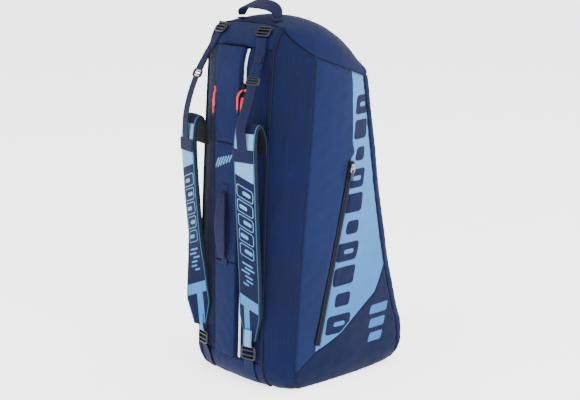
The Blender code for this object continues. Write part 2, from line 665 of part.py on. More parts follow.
def make_band(name, side):
    """A flat band sewn across the strap's face; the lifter's end is caught under it."""
    place = local_frame((0.0910, -0.0290 - 0.0066, BAND_Z), ACROSS, (0, 0, 1))
    boxes = [((0, -0.0009, 0), (STRAP_WIDTH + 0.0030, 0.0012, 0.026))]
    union_of_boxes(name + "_strap_band", boxes, Matrix.Diagonal((side, 1, 1, 1)) @ place, WEB_PURPLE,
                   origin=mirrored(STRAP_ROOT, side))


def make_lifter(name, side):
    """Load lifter: from the high buckle through the tri-glide down to the band."""
    path = smooth_path(LIFTER, 25)
    cut = int(GLIDE_AT * len(path))
    rings(name + "_lifter_upper", mirrored(strap_loops(path[:cut], ACROSS, WEBBING_WIDTH, 2 * WEBBING), side),
          WEB_PURPLE)
    rings(name + "_lifter_lower", mirrored(strap_loops(path[cut + 1:], ACROSS, WEBBING_WIDTH, WEBBING), side),
          WEB_PURPLE)
    centre = path[cut]
    place = local_frame(centre, ACROSS, path[cut - 2] - path[cut + 2])
    frame = bar_frame(0.034, 0.017, 0.0042, 0.0032)
    union_of_boxes(name + "_tri_glide", frame, Matrix.Diagonal((side, 1, 1, 1)) @ place, BLACK,
                   roughness=0.35, origin=mirrored(centre, side))


def bar_frame(width, height, thick, bar):
    """Boxes of a buckle: a frame with a bar across its middle."""
    x, z = (width - bar) / 2, (height - bar) / 2
    return [((0, 0, z), (width, thick, bar)), ((0, 0, -z), (width, thick, bar)),
            ((x, 0, 0), (bar, thick * 0.96, height * 0.98)), ((-x, 0, 0), (bar, thick * 0.96, height * 0.98)),
            ((0, 0, 0), (width * 0.99, thick * 0.7, bar * 0.8))]


def make_buckles(name, side):
    """High buckle on its sewn tab and low buckle at the strap's tip."""
    mirror = Matrix.Diagonal((side, 1, 1, 1))
    place = local_frame(HIGH_BUCKLE, ACROSS, (0.0, 0.62, 0.78))
    high_pivot = place @ Vector((0, 0, 0.0090))
    union_of_boxes(name + "_high_buckle", bar_frame(0.036, 0.020, 0.0045, 0.0036), mirror @ place, BLACK,
                   roughness=0.35, origin=mirrored(high_pivot, side))
    place = local_frame(LOW_BUCKLE, ACROSS, (0.0, 0.04, 1.0))
    union_of_boxes(name + "_low_buckle", bar_frame(0.038, 0.030, 0.0050, 0.0042), mirror @ place, BLACK,
                   roughness=0.35, origin=mirrored(LOW_PIVOT, side))


def make_lower_webbing(name, side):
    """Webbing from the low buckle, round the heel, to the seam of the base."""
    low = WALL[COLUMN["zip"] + 2]
    out = OUTWARD[COLUMN["zip"] + 2]
    heel = [low[j] + out[j] * 0.0042 for j in (2, 3, 4, 5)]
    heel = [np.array((0.070, p[1], p[2])) for p in heel]
    path = smooth_path(heel[:3] + [np.array((0.0735, -0.0100, 0.0610))], 10)
    rings(name + "_lower_webbing", mirrored(strap_loops(path, ACROSS, WEBBING_WIDTH, WEBBING), side),
          WEB_PURPLE)


make_shell()
make_spine_panels()
make_cap()
make_base()
make_inside()
make_pipings()
make_main_zips()
make_pockets()
make_handles()
make_straps()
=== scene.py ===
"""Racket tournament bag: the looks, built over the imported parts.

The bag stands on its heel with its spine towards -Y. Depth runs from the spine, near 0, to the
back, and world y is that depth less SHIFT_Y. Pieces off the centre line are worked out for the
right half (+X) and mirrored for the left one.
"""
import math

import bmesh
import bpy
import numpy as np
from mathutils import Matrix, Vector


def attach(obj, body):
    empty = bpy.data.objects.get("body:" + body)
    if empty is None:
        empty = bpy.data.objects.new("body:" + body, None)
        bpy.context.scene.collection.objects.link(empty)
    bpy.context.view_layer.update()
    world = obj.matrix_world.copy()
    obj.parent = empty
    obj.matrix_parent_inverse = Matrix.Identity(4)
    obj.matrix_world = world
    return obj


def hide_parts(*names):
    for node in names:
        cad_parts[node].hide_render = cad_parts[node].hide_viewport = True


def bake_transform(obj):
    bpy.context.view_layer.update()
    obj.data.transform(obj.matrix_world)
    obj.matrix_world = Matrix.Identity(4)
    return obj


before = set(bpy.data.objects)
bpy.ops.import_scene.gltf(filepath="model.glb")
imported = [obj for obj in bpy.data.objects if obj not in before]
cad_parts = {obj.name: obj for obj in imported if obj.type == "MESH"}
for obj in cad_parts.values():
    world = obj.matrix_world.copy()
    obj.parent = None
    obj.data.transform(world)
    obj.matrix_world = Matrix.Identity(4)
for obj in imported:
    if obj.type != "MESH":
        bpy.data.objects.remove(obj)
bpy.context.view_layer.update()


# ---- camera, lights and floor -------------------------------------------------------------------
# The bag stands alone on a plain pale floor, seen from the front right at chest height. A large
# soft key light stands on the spine side, a fill lights the pocket side, and two weaker ones stand
# above and behind.
def aim(thing, place, target):
    """Put a camera or light at place and turn it to look at target."""
    thing.location = place
    thing.rotation_euler = (Vector(target) - Vector(place)).to_track_quat("-Z", "Y").to_euler()
    bpy.context.scene.collection.objects.link(thing)
    return thing


azimuth, elevation, reach = math.radians(48.7), math.radians(12.2), 3.0
target = (0.0, 0.00335, 0.36)
camera = bpy.data.objects.new("camera", bpy.data.cameras.new("camera"))
aim(camera, (target[0] + reach * math.cos(elevation) * math.sin(azimuth),
             target[1] - reach * math.cos(elevation) * math.cos(azimuth),
             target[2] + reach * math.sin(elevation)), target)
camera.data.lens = 87.5
camera.data.sensor_width = 36.0
bpy.context.scene.camera = camera

for label, place, size, power in (("key_light", (-0.4, -3.4, 1.9), 2.4, 80.0),
                                  ("fill_light", (3.5, -0.4, 1.9), 2.4, 120.0),
                                  ("top_light", (0.6, -0.3, 3.6), 3.0, 60.0),
                                  ("back_light", (1.5, 3.4, 2.2), 2.4, 60.0)):
    lamp = bpy.data.lights.new(label, "AREA")
    lamp.size = size
    lamp.energy = power
    aim(bpy.data.objects.new(label, lamp), place, (0, 0, 0.35))

world = bpy.data.worlds.new("studio")
world.use_nodes = True
world.node_tree.nodes["Background"].inputs["Color"].default_value = (0.93, 0.95, 1.0, 1)
world_light, world_seen = 1.35, 2.95   # strength of the light on things, and of the ground behind them
rays = world.node_tree.nodes.new("ShaderNodeLightPath").outputs["Is Camera Ray"]
strength = world.node_tree.nodes.new("ShaderNodeMath")
strength.operation = "MULTIPLY_ADD"
strength.inputs[1].default_value = world_seen - world_light
strength.inputs[2].default_value = world_light
world.node_tree.links.new(rays, strength.inputs[0])
world.node_tree.links.new(strength.outputs[0], world.node_tree.nodes["Background"].inputs["Strength"])
bpy.context.scene.world = world

floor_mesh = bpy.data.meshes.new("floor")
far = 30.0                             # metres from the bag to the floor's edges
floor_mesh.from_pydata([(-far, -far, 0), (far, -far, 0), (far, far, 0), (-far, far, 0)], [], [(0, 1, 2, 3)])
floor = bpy.data.objects.new("floor", floor_mesh)
bpy.context.scene.collection.objects.link(floor)
paper = bpy.data.materials.new("floor_paper")
paper.use_nodes = True
paper_shader = paper.node_tree.nodes["Principled BSDF"]
paper_shader.inputs["Base Color"].default_value = (0.93, 0.93, 0.93, 1)
paper_shader.inputs["Roughness"].default_value = 0.9
paper_shader.inputs["Emission Color"].default_value = (1, 1, 1, 1)
paper_shader.inputs["Emission Strength"].default_value = 2.2
floor_mesh.materials.append(paper)


# ---- side panels --------------------------------------------------------------------------------
# Printed twill on the +X and -X sides: dark front part, light blue wedge behind the pocket zip with
# a row of slanted dark blocks, dark rear corner under a curved seam with three light stripes. The
# pattern is printed, the panel is cut from the wall below and sewn in on all its edges.
SHIFT_Y = 0.16465                     # depth of the object's middle
SIDES = (("right", 1), ("left", -1))

# The wall is one surface that all the outer panels are cut from: its plan at each height, drawn in
# under the bag, with each column cut off at its own seam height.
FRONT_TOP = 0.742                     # height of the cap's seam on the spine
PIPING_X = 0.100                      # half width of the spine face
CORNER = 0.025                        # radius of the rear corners
HIP, SHOULDER, SIDE_BACK_TOP = 0.710 / FRONT_TOP, 0.681 / FRONT_TOP, 0.632 / FRONT_TOP


def zip_x(z):
    """Half the distance between the two main zips."""
    return 0.0365 + 0.0133 * (z - 0.05)


def rolled(z, low, size):
    """0 below low, then a quarter ellipse up to 1 at low + size: how the spine rolls into the yoke."""
    return 1 - np.sqrt(np.clip(1 - (np.clip(z - low, 0, 1) / size) ** 2, 0, 1))


def spine_y(z):
    """Depth of the spine face on the centre line."""
    return -0.006 + 0.0262 * (z - 0.05) + 0.072 * rolled(z, 0.648, 0.0955)


def piping_y(z):
    """Depth of the spine face's outer edge."""
    rise = z - 0.12
    return 0.004 + 0.030 * rise + 0.045 * rise**2 + 0.040 * rolled(z, 0.670, 0.0725)


def back_y(z):
    """Depth of the back panel."""
    hollow = -0.016 * np.sin(np.pi * np.clip((z - 0.094) / 0.542, 0, 1) ** 0.75)
    return np.minimum(0.3665 - 0.1596 * (z - 0.094), 0.369) + hollow


def seam_y(z):
    """Depth of the seam between gusset and side panel."""
    rise = np.maximum(z - 0.06, 0)
    return 0.046 + 0.075 * rise + 0.043 * rise**2


def half_width(z):
    """Half width at the side seam."""
    return 0.155 - 0.010 * np.clip((z - 0.45) / 0.23, 0, 1) ** 2


def corner_x(z):
    """Half width where the side turns into the back."""
    return 0.150 - 0.020 * (z / 0.632) ** 2


def wall(kind, s, height):
    """Points of the wall: kind of panel, share s across it, height on the centre line (arrays).

    x and y run from one edge of the panel to the other, straight with a slight billow, or round
    the corner. Near the ground they are drawn in by foot (across, in depth, height) along a quarter
    ellipse.
    """
    s, height = np.broadcast_arrays(np.asarray(s, float), np.asarray(height, float))
    top = {"spine": 1 + 0 * s,
           "flap": 1 - 0.007 * s,
           "gusset": np.interp(s, (0, 0.5, 1), (0.993, HIP, SHOULDER)),
           "side": SHOULDER + (SIDE_BACK_TOP - SHOULDER) * s,
           "corner": SIDE_BACK_TOP + 0 * s,
           "back": SIDE_BACK_TOP + 0.012 * s}[kind]
    z = height * top
    span, billow = PIPING_X - zip_x(z), 0.004 * np.sin(np.pi * s)
    if kind == "spine":
        x, y, foot = zip_x(z) * s, spine_y(z), (0, 0.042, 0.056)
    elif kind == "flap":
        x, y, foot = zip_x(z) + span * s, spine_y(z) + (piping_y(z) - spine_y(z)) * s**1.3, (0, 0.042, 0.056)
    elif kind == "gusset":
        x = PIPING_X + (half_width(z) - PIPING_X) * s + 0.6 * billow
        y = piping_y(z) + (seam_y(z) - piping_y(z)) * s - 0.8 * billow
        foot = (-0.012 * s, 0.042 - 0.024 * s, 0.056 - 0.010 * s)
    elif kind == "side":
        x = half_width(z) + (corner_x(z) - half_width(z)) * s**2 + billow
        y = seam_y(z) + (back_y(z) - CORNER - seam_y(z)) * s
        foot = (-0.012 - 0.013 * s**2, 0.018 * (1 - s) - 0.035 * s**3, 0.046)
    elif kind == "corner":
        x = corner_x(z) - CORNER * (1 - np.cos(s * np.pi / 2))
        y = back_y(z) - CORNER * (1 - np.sin(s * np.pi / 2))
        foot = (-0.025 - 0.009 * s, -0.035 - 0.027 * s, 0.046 + 0.014 * s)
    else:
        x, y = (corner_x(z) - CORNER) * (1 - s), back_y(z) + 0.004 * np.sin(s * np.pi / 2)
        foot = (-0.034 * (1 - s), -0.062, 0.060)
    drawn = 1 - np.sqrt(np.clip(1 - np.clip(1 - z / foot[2], 0, 1) ** 2, 0, 1))
    return np.stack([x + foot[0] * drawn, y + foot[1] * drawn, z], axis=-1)


def heights(low, high, count):
    """Heights from low to high, closer together near the ground, where the wall turns under."""
    t = np.linspace(0, 1, count)
    return low + (high - low) * (t if low > 0 else 0.35 * t**2 + 0.65 * t)


# Every cloth piece carries a vector attribute "cloth", metres across and along the cloth, and
# "edge", metres from its hem. Its weave, its stitches and the shade painted along its hems are drawn from
# those two.
STUDIO = np.array((0.110, 0.140, 0.250))   # what the bright light needs each dye darkened by: R, G, B


def srgb(*levels):
    """Linear dye colour from 0-255 screen levels, darkened for the bright studio light."""
    c = np.array(levels) / 255
    linear = np.where(c < 0.04045, c / 12.92, ((c + 0.055) / 1.055) ** 2.4)
    return (*(linear * STUDIO).tolist(), 1.0)


def node(tree, kind, values=(), **settings):
    """Add a shader node; values is {input name or number: value or output socket}."""
    made = tree.nodes.new("ShaderNode" + kind)
    for key, value in settings.items():
        setattr(made, key, value)
    for key, value in dict(values).items():
        if isinstance(value, bpy.types.NodeSocket):
            tree.links.new(value, made.inputs[key])
        else:
            made.inputs[key].default_value = value
    return made


def calc(tree, operation, *values):
    """Output of a Math node."""
    return node(tree, "Math", dict(enumerate(values)), operation=operation).outputs[0]


def ramp(tree, value, low, high, a=0.0, b=1.0):
    """A smooth step of value between low and high, from a to b."""
    return node(tree, "MapRange", {0: value, 1: low, 2: high, 3: a, 4: b},
                interpolation_type="SMOOTHSTEP").outputs[0]


def mix(tree, share, a, b):
    """Colour a where share is 0 and colour b where it is 1."""
    return node(tree, "Mix", {0: share, 6: a, 7: b}, data_type="RGBA").outputs[2]


def attribute(tree, name, kind="Fac"):
    """Output of an Attribute node: Fac for a number, Vector for a vector."""
    return node(tree, "Attribute", attribute_name=name).outputs[kind]


def new_group(name, inputs, outputs):
    """An empty node group with named sockets: its tree, its inputs and a way to set its outputs."""
    tree = bpy.data.node_groups.new(name, "ShaderNodeTree")
    for label, value in inputs.items():
        kind = "NodeSocketVector" if value is None else "NodeSocketFloat"
        socket = tree.interface.new_socket(label, in_out="INPUT", socket_type=kind)
        if value is not None:
            socket.default_value = value
    for label in outputs:
        tree.interface.new_socket(label, in_out="OUTPUT", socket_type="NodeSocketFloat")
    ends = tree.nodes.new("NodeGroupInput"), tree.nodes.new("NodeGroupOutput")
    return tree, ends[0].outputs, ends[1].inputs


def use(tree, group, values):
    """Outputs of a node group placed in a material."""
    return node(tree, "Group", values, node_tree=group).outputs


# Twill: slanted threads over a plain weave. Turn 0 gives upright ribs, 1 gives 45 degree lines.
twill, given, result = new_group("twill", {"Cloth": None, "Pitch": 0.0024, "Turn": 1.0, "Uneven": 0.5},
                                 ("Height", "Shade"))
place = node(twill, "SeparateXYZ", {0: given["Cloth"]}).outputs
drift = node(twill, "TexNoise", {"Vector": given["Cloth"], "Scale": 60.0, "Detail": 2.0}).outputs[0]
across = calc(twill, "MULTIPLY_ADD", place[1], given["Turn"], place[0])
across = calc(twill, "MULTIPLY_ADD", drift, 0.0012, across)
wave = calc(twill, "SINE", calc(twill, "DIVIDE", calc(twill, "MULTIPLY", across, math.tau), given["Pitch"]))
cross = calc(twill, "SINE", calc(twill, "DIVIDE", calc(twill, "MULTIPLY", place[1], math.tau * 1.7),
                                 given["Pitch"]))
height = calc(twill, "MULTIPLY_ADD", cross, 0.25, wave)
twill.links.new(calc(twill, "MULTIPLY_ADD", height, 0.4, 0.5), result["Height"])
stretched = node(twill, "VectorMath", {0: given["Cloth"], 1: (1.0, 0.03, 1.0)},
                 operation="MULTIPLY").outputs[0]
rib = node(twill, "TexNoise", {"Vector": stretched, "Scale": 420.0, "Detail": 3.0}).outputs[0]
speck = node(twill, "TexNoise", {"Vector": given["Cloth"], "Scale": 900.0, "Detail": 1.0}).outputs[0]
uneven = calc(twill, "MULTIPLY", calc(twill, "SUBTRACT", rib, 0.5), given["Uneven"])
uneven = calc(twill, "MULTIPLY_ADD", calc(twill, "SUBTRACT", speck, 0.5), 0.5, uneven)
twill.links.new(calc(twill, "MULTIPLY_ADD", height, 0.16, calc(twill, "ADD", uneven, 0.5)), result["Shade"])

# Stitches: a row of short threads at a set distance from the hem, with a small dent round them.
stitches, given, result = new_group(
    "stitches", {"Cloth": None, "Edge": 1.0, "Offset": 0.0035, "Pitch": 0.0034}, ("Mask", "Dent"))
place = node(stitches, "SeparateXYZ", {0: given["Cloth"]}).outputs
off = calc(stitches, "ABSOLUTE", calc(stitches, "SUBTRACT", given["Edge"], given["Offset"]))
run = calc(stitches, "DIVIDE", calc(stitches, "ADD", place[0], place[1]), given["Pitch"])
dash = calc(stitches, "ABSOLUTE", calc(stitches, "SUBTRACT", calc(stitches, "FRACT", run), 0.5))
thread = calc(stitches, "MULTIPLY", ramp(stitches, off, 0.0003, 0.0006, 1.0, 0.0),
              ramp(stitches, dash, 0.33, 0.42, 1.0, 0.0))
stitches.links.new(thread, result["Mask"])
stitches.links.new(ramp(stitches, off, 0.0004, 0.0016, 1.0, 0.0), result["Dent"])


def cloth_look(name, colour, accent, pitch=0.0024, turn=1.0, uneven=0.5, roughness=0.85, sheen=0.03,
               thread=None, offset=0.0035, relief=0.5, coat=0.0, prints=()):
    """A woven cloth: thread pattern, slow colour drift, shade painted along the hem, a stitch row and printed
    areas.

    prints lists (attribute, colour, colour at the top): the attribute is the signed distance in
    metres from the border of the printed area, so that its edge stays sharp on any mesh.
    """
    made = bpy.data.materials.new(name)
    made.use_nodes = True
    tree = made.node_tree
    shader = tree.nodes["Principled BSDF"]
    cloth = attribute(tree, "cloth", "Vector")
    edge = attribute(tree, "edge")
    weave = use(tree, twill, {"Cloth": cloth, "Pitch": pitch, "Turn": turn, "Uneven": uneven})
    sewn = use(tree, stitches, {"Cloth": cloth, "Edge": edge, "Offset": offset})
    spot = node(tree, "TexCoord").outputs["Object"]
    drift = node(tree, "TexNoise", {"Vector": spot, "Scale": 7.0, "Detail": 3.0}).outputs[0]
    paint = mix(tree, ramp(tree, drift, 0.3, 0.7), colour, accent)
    if prints:
        height = node(tree, "SeparateXYZ", {0: spot}).outputs[2]
        for area, low, high in prints:
            tint = mix(tree, ramp(tree, height, 0.1, 0.6), low, high)
            paint = mix(tree, ramp(tree, attribute(tree, area), -0.0004, 0.0004), paint, tint)
    shade = ramp(tree, weave["Shade"], 0.15, 0.85, 0.70, 1.28)
    # Painted shade along the hem: the colour darkens to 0.68 at the seam over the last 6 mm, where the cloth
    # rolls in.
    shade = calc(tree, "MULTIPLY", shade, ramp(tree, edge, 0.0, 0.006, 0.68, 1.0))
    paint = node(tree, "VectorMath", {0: paint, "Scale": shade}, operation="SCALE").outputs[0]
    if thread:
        paint = mix(tree, sewn["Mask"], paint, thread)
    tree.links.new(paint, shader.inputs["Base Color"])
    rough = ramp(tree, drift, 0.2, 0.8, roughness - 0.06, roughness + 0.04)
    tree.links.new(rough, shader.inputs["Roughness"])
    shader.inputs["Sheen Weight"].default_value = sheen
    shader.inputs["Sheen Roughness"].default_value = 0.45
    shader.inputs["Coat Weight"].default_value = coat
    shader.inputs["Specular IOR Level"].default_value = 0.13
    deep = calc(tree, "MULTIPLY_ADD", sewn["Dent"], -0.8, weave["Height"])
    bump = node(tree, "Bump", {"Height": deep, "Strength": relief, "Distance": 0.0006})
    tree.links.new(bump.outputs[0], shader.inputs["Normal"])
    return made


def add_piece(name, points, faces, look, body, slot, stands_for=(), **fields):
    """A finished piece from points and faces; fields are point attributes (numbers or vectors).

    It rides on body, or on none where it is to be blended between two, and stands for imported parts.
    """
    points = np.asarray(points, float).reshape(-1, 3) - (0.0, SHIFT_Y, 0.0)
    mesh = bpy.data.meshes.new(name)
    mesh.from_pydata(points.tolist(), [], faces.tolist() if isinstance(faces, np.ndarray) else faces)
    for label, values in fields.items():
        values = np.asarray(values, float)
        vector = values.size == 3 * len(points)
        layer = mesh.attributes.new(label, "FLOAT_VECTOR" if vector else "FLOAT", "POINT")
        layer.data.foreach_set("vector" if vector else "value", values.ravel())
    shape = bmesh.new()
    shape.from_mesh(mesh)
    bmesh.ops.recalc_face_normals(shape, faces=shape.faces)
    shape.to_mesh(mesh)
    shape.free()
    mesh.shade_smooth()
    mesh.materials.append(look)
    made = bpy.data.objects.new(name, mesh)
    bpy.context.scene.collection.objects.link(made)
    if body:
        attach(made, body)
    if stands_for:
        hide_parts(*stands_for)
    return made


def slab_faces(columns, rows):
    """Faces of a closed slab between two grids of columns x rows points, outer grid first."""
    cell = np.arange(columns * rows).reshape(columns, rows)
    a, b, c, d = (part.ravel() for part in (cell[:-1, :-1], cell[1:, :-1], cell[1:, 1:], cell[:-1, 1:]))
    outer = np.stack([a, b, c, d], axis=1)
    inner = np.stack([a, d, c, b], axis=1) + columns * rows
    rim = np.concatenate([cell[:, 0], cell[-1, 1:], cell[-2::-1, -1], cell[0, -2:0:-1]])
    on = np.roll(rim, -1)
    side = np.stack([rim, rim + columns * rows, on + columns * rows, on], axis=1)
    return np.concatenate([outer, inner, side])


def lengths(grid):
    """Metres across and along a grid of points, measured on its surface: (across, along)."""
    def summed(axis):
        step = np.linalg.norm(np.diff(grid, axis=axis), axis=2)
        start = np.zeros_like(step[:1] if axis == 0 else step[:, :1])
        return np.cumsum(np.concatenate([start, step], axis=axis), axis=axis)
    return summed(0), summed(1)


def outward(grid):
    """Unit normals of a grid of points: across x along."""
    normals = np.cross(np.gradient(grid, axis=0), np.gradient(grid, axis=1))
    return normals / np.maximum(np.linalg.norm(normals, axis=2), 1e-12)[:, :, None]


def swell(u, v, seed, size):
    """Soft uneven relief, mostly within -1 and 1: seven bent waves of random direction, size long."""
    rng = np.random.default_rng(seed)
    total = 0.0
    for turn, phase, stretch in rng.random((7, 3)) * (math.pi, math.tau, 1.0):
        far = size * (0.6 + 0.9 * stretch)
        along = (u * math.cos(turn) + v * math.sin(turn)) / far
        aside = (v * math.cos(turn) - u * math.sin(turn)) / far
        total = total + np.sin(math.tau * along + phase + 0.9 * np.sin(2.1 * aside + 3 * phase))
    return total / 4


def tuck(distance, radius):
    """How far an edge is drawn in at a distance from its seam: a quarter circle, 1 at the seam."""
    near = np.clip(1 - distance / radius, 0, 1)
    return 1 - np.sqrt(1 - near**2)


def sewn_panel(name, side, grid, look, slot, seed, thick=0.004, puff=0.0015, crease=0.0010, roll=0.0022,
               shape=0.0, **fields):
    """A sewn panel from a grid on the wall: drawn in at its seams, puffed between them, creased.

    puff, crease and roll (how deep it is drawn in) are metres, and shape adds relief of its own.
    The inner grid lies thick behind the wall, and the outer one is the wall and the relief.
    """
    u, v = lengths(grid)
    edge = np.minimum.reduce([u, u[-1:] - u, v, v[:, -1:] - v])
    inward = np.clip(edge / 0.05, 0, 1)
    gathers = np.exp(-edge / 0.010) * np.sin(math.tau * (u + v) / 0.019 + 2.5 * swell(u, v, seed + 1, 0.05))
    lift = (puff * np.sin(inward * math.pi / 2) + crease * swell(u, v, seed, 0.13) * inward
            + 0.35 * crease * swell(u, v, seed + 2, 0.035) + 0.30 * crease * gathers
            - roll * tuck(edge, 0.006) + shape)
    normals = outward(grid)
    points = np.concatenate([grid + normals * lift[:, :, None], grid - normals * thick]).reshape(-1, 3)
    cloth = np.stack([u, v, 0 * u], axis=2).reshape(-1, 3)
    doubled = {key: np.concatenate([value.ravel()] * 2) for key, value in fields.items()}
    return add_piece(name, points * (side, 1, 1), slab_faces(*u.shape), look, "shell", slot,
                     (name,), cloth=np.concatenate([cloth] * 2),
                     edge=np.concatenate([edge.ravel()] * 2), **doubled)


def area(y, z, corners):
    """Signed distance to a polygon's border in metres, positive inside."""
    spot = np.stack([y, z], axis=-1)
    inside, far = np.zeros(y.shape, bool), np.full(y.shape, 9.0)
    for a, b in zip(np.array(corners), np.roll(corners, -1, axis=0)):
        along = b - a
        share = np.clip(((spot - a) @ along) / (along @ along), 0, 1)
        far = np.minimum(far, np.linalg.norm(spot - a - share[..., None] * along, axis=-1))
        crosses = (a[1] > z) != (b[1] > z)
        rise = np.where(along[1] == 0, 1e-9, along[1])
        inside ^= crosses & (y < a[0] + along[0] * (z - a[1]) / rise)
    return np.where(inside, far, -far)


def bar(y, z, centre, half, lean, corner):
    """Signed distance to a rounded bar that leans by lean (offset across per metre of height)."""
    off = np.abs(np.stack([y - centre[0] - lean * (z - centre[1]), z - centre[1]], axis=-1)) - half + corner
    return corner - np.linalg.norm(np.maximum(off, 0), axis=-1) - np.minimum(off.max(axis=-1), 0)


# The printed areas, as outlines and bars of (depth, height).
pocket_top, pocket_foot = (0.201, 0.462), (0.103, 0.089)
lower_seam = [(0.40, 0.37), (0.307, 0.230), (0.272, 0.173), (0.237, 0.150), (0.205, 0.129),
              (0.171, 0.105), (0.135, 0.0885), (0.099, 0.0750), (0.067, 0.054), (0.02, 0.022)]
front_line = [(0.214, 0.70), (0.212, 0.646), (0.209, 0.567), (0.203, 0.501), (0.209, 0.480), pocket_top,
              (0.168, 0.318), (0.133, 0.197), pocket_foot]
share = np.linspace(0, 1, 130)[:, None]
side_grid = wall("side", share, heights(0, FRONT_TOP, 260))
y, z = side_grid[:, :, 1], side_grid[:, :, 2]
light = area(y, z, front_line + lower_seam[7::-1] + [(0.42, 0.70)])
block_foot, block_step, block_lean = np.array((0.160, 0.124)), np.array((0.0092, 0.0500)), 0.22
motif = np.full(y.shape, -1.0)
for k in range(10):
    middle, short = block_foot + block_step * k, k % 3 == 1
    half = (0.033 - 0.0012 * k - 0.010 * short, 0.0195 - 0.0055 * short)
    block = bar(y, z, middle + (0.004 * short, 0), half, block_lean, 0.008)
    slot = bar(y, z, middle + (0.003, 0), (half[0] * 0.46, 0.0046), block_lean, 0.0045)
    motif = np.maximum(motif, np.minimum(block, -slot) if k % 3 == 0 else block)
motif = np.minimum(motif, light - 0.003)
corner_area = -area(y, z, [(0.0, 0.8), (0.0, 0.0)] + lower_seam[::-1] + [(0.5, 0.8)])
stripes = np.maximum.reduce([bar(y, z, (0.284 - 0.006 * k, 0.134 - 0.030 * k), (0.028 - 0.004 * k, 0.0095),
                                 0.35, 0.004) for k in range(3)])
off_y, off_z = y - pocket_foot[0], z - pocket_foot[1]
run_y, run_z = np.subtract(pocket_top, pocket_foot)
along = np.clip((off_y * run_y + off_z * run_z) / (run_y**2 + run_z**2), 0, 1)
zip_far = np.hypot(off_y - along * run_y, off_z - along * run_z)
seam_far = np.abs(area(y, z, [(-1, 2), (-1, -1)] + lower_seam[::-1] + [(2, 2)]))
# A groove runs along the curved seam, and the pocket zip lies in a flat strip.
relief = -0.0012 * np.exp(-(seam_far / 0.0022) ** 2) - 0.0034 * np.exp(-(zip_far / 0.011) ** 4)
side_look = cloth_look("side_twill", srgb(43, 66, 112), srgb(52, 76, 124), pitch=0.0030, turn=1.0,
                       uneven=0.35, thread=srgb(40, 58, 98),
                       prints=(("corner_print", srgb(25, 47, 88), srgb(25, 47, 88)),
                               ("light_print", (0.034, 0.130, 0.310, 1), (0.058, 0.178, 0.360, 1)),
                               ("motif_print", srgb(32, 48, 92), srgb(40, 56, 100)),
                               ("stripe_print", (0.028, 0.112, 0.290, 1), (0.028, 0.112, 0.290, 1))))
for name, side in SIDES:
    sewn_panel(name + "_side_panel", side, side_grid, side_look, "side_print", seed=11 + side,
               crease=0.0014, puff=0.0020, shape=relief,
               corner_print=corner_area, light_print=light, motif_print=motif, stripe_print=stripes)


# ---- gussets ------------------------------------------------------------------------------------
# Coarse ribbed cloth between the spine face and the side panels, sewn in along both long edges.
gusset_look = cloth_look("gusset_ribs", srgb(20, 42, 84), srgb(27, 52, 98), pitch=0.0042, turn=0.0,
                         uneven=0.7, thread=srgb(34, 52, 92), relief=0.8)
gusset_grid = wall("gusset", np.linspace(0, 1, 56)[:, None], heights(0, FRONT_TOP, 240))
for name, side in SIDES:
    sewn_panel(name + "_gusset", side, gusset_grid, gusset_look, "gusset_cloth", seed=31 + side,
               crease=0.0017, puff=0.0022)


# ---- mouth flaps --------------------------------------------------------------------------------
# The spine face beside each main zip: fine weave, its inner hem folded under along the zip.
flap_look = cloth_look("flap_cloth", srgb(24, 45, 88), srgb(29, 52, 98), pitch=0.0020, turn=0.0, uneven=0.5,
                       thread=srgb(45, 66, 112))
flap_heights = np.linspace(0.056, 0.700, 230)
zip_bay = 0.0062                      # from the zip's centre line to the flap's hem
inner_hem = zip_bay / (PIPING_X - zip_x(flap_heights))
flap_grid = wall("flap", inner_hem + (1 - inner_hem) * np.linspace(0, 1, 40)[:, None], flap_heights)
for name, side in SIDES:
    sewn_panel(name + "_mouth_flap", side, flap_grid, flap_look, "spine_cloth", seed=51 + side)


# ---- heel and yoke ------------------------------------------------------------------------------
# One-piece panels right across the spine face, under and over the zips and the spine pads.
def spine_band(low, high, columns, rows):
    """Grid across the whole spine face, from one piping to the other."""
    across = np.linspace(0, PIPING_X, columns)[:, None]
    at = heights(low, high, rows)[None, :]
    share = across / zip_x(at)
    flap_share = (across - zip_x(at)) / (PIPING_X - zip_x(at))
    half = np.where((share < 1)[..., None], wall("spine", np.clip(share, 0, 1), at),
                    wall("flap", np.clip(flap_share, 0, 1), at))
    return np.concatenate([half[::-1] * (-1, 1, 1), half[1:]])


yoke_look = cloth_look("yoke_cloth", srgb(32, 54, 103), srgb(38, 62, 112), pitch=0.0020, turn=0.0, uneven=0.5,
                       thread=srgb(52, 72, 116))
sewn_panel("spine_heel", 1, spine_band(0.0, 0.056, 60, 46), yoke_look, "spine_cloth", seed=71)
sewn_panel("spine_yoke", 1, spine_band(0.700, FRONT_TOP, 60, 34), yoke_look, "spine_cloth", seed=75)


# ---- back panel ---------------------------------------------------------------------------------
# The swelling back between the two rear corner seams, one length of twill.
back_look = cloth_look("back_twill", srgb(30, 50, 94), srgb(36, 58, 106), pitch=0.0030,
                       thread=srgb(40, 58, 98))
at = heights(0, FRONT_TOP, 220)
back_half = np.concatenate([wall("corner", np.linspace(0, 1, 22)[:, None], at),
                            wall("back", np.linspace(0, 1, 42)[1:, None], at)])
back_grid = np.concatenate([back_half, back_half[-2::-1] * (-1, 1, 1)])
sewn_panel("back_panel", 1, back_grid, back_look, "outer_cloth", seed=91, crease=0.0020, puff=0.0030)


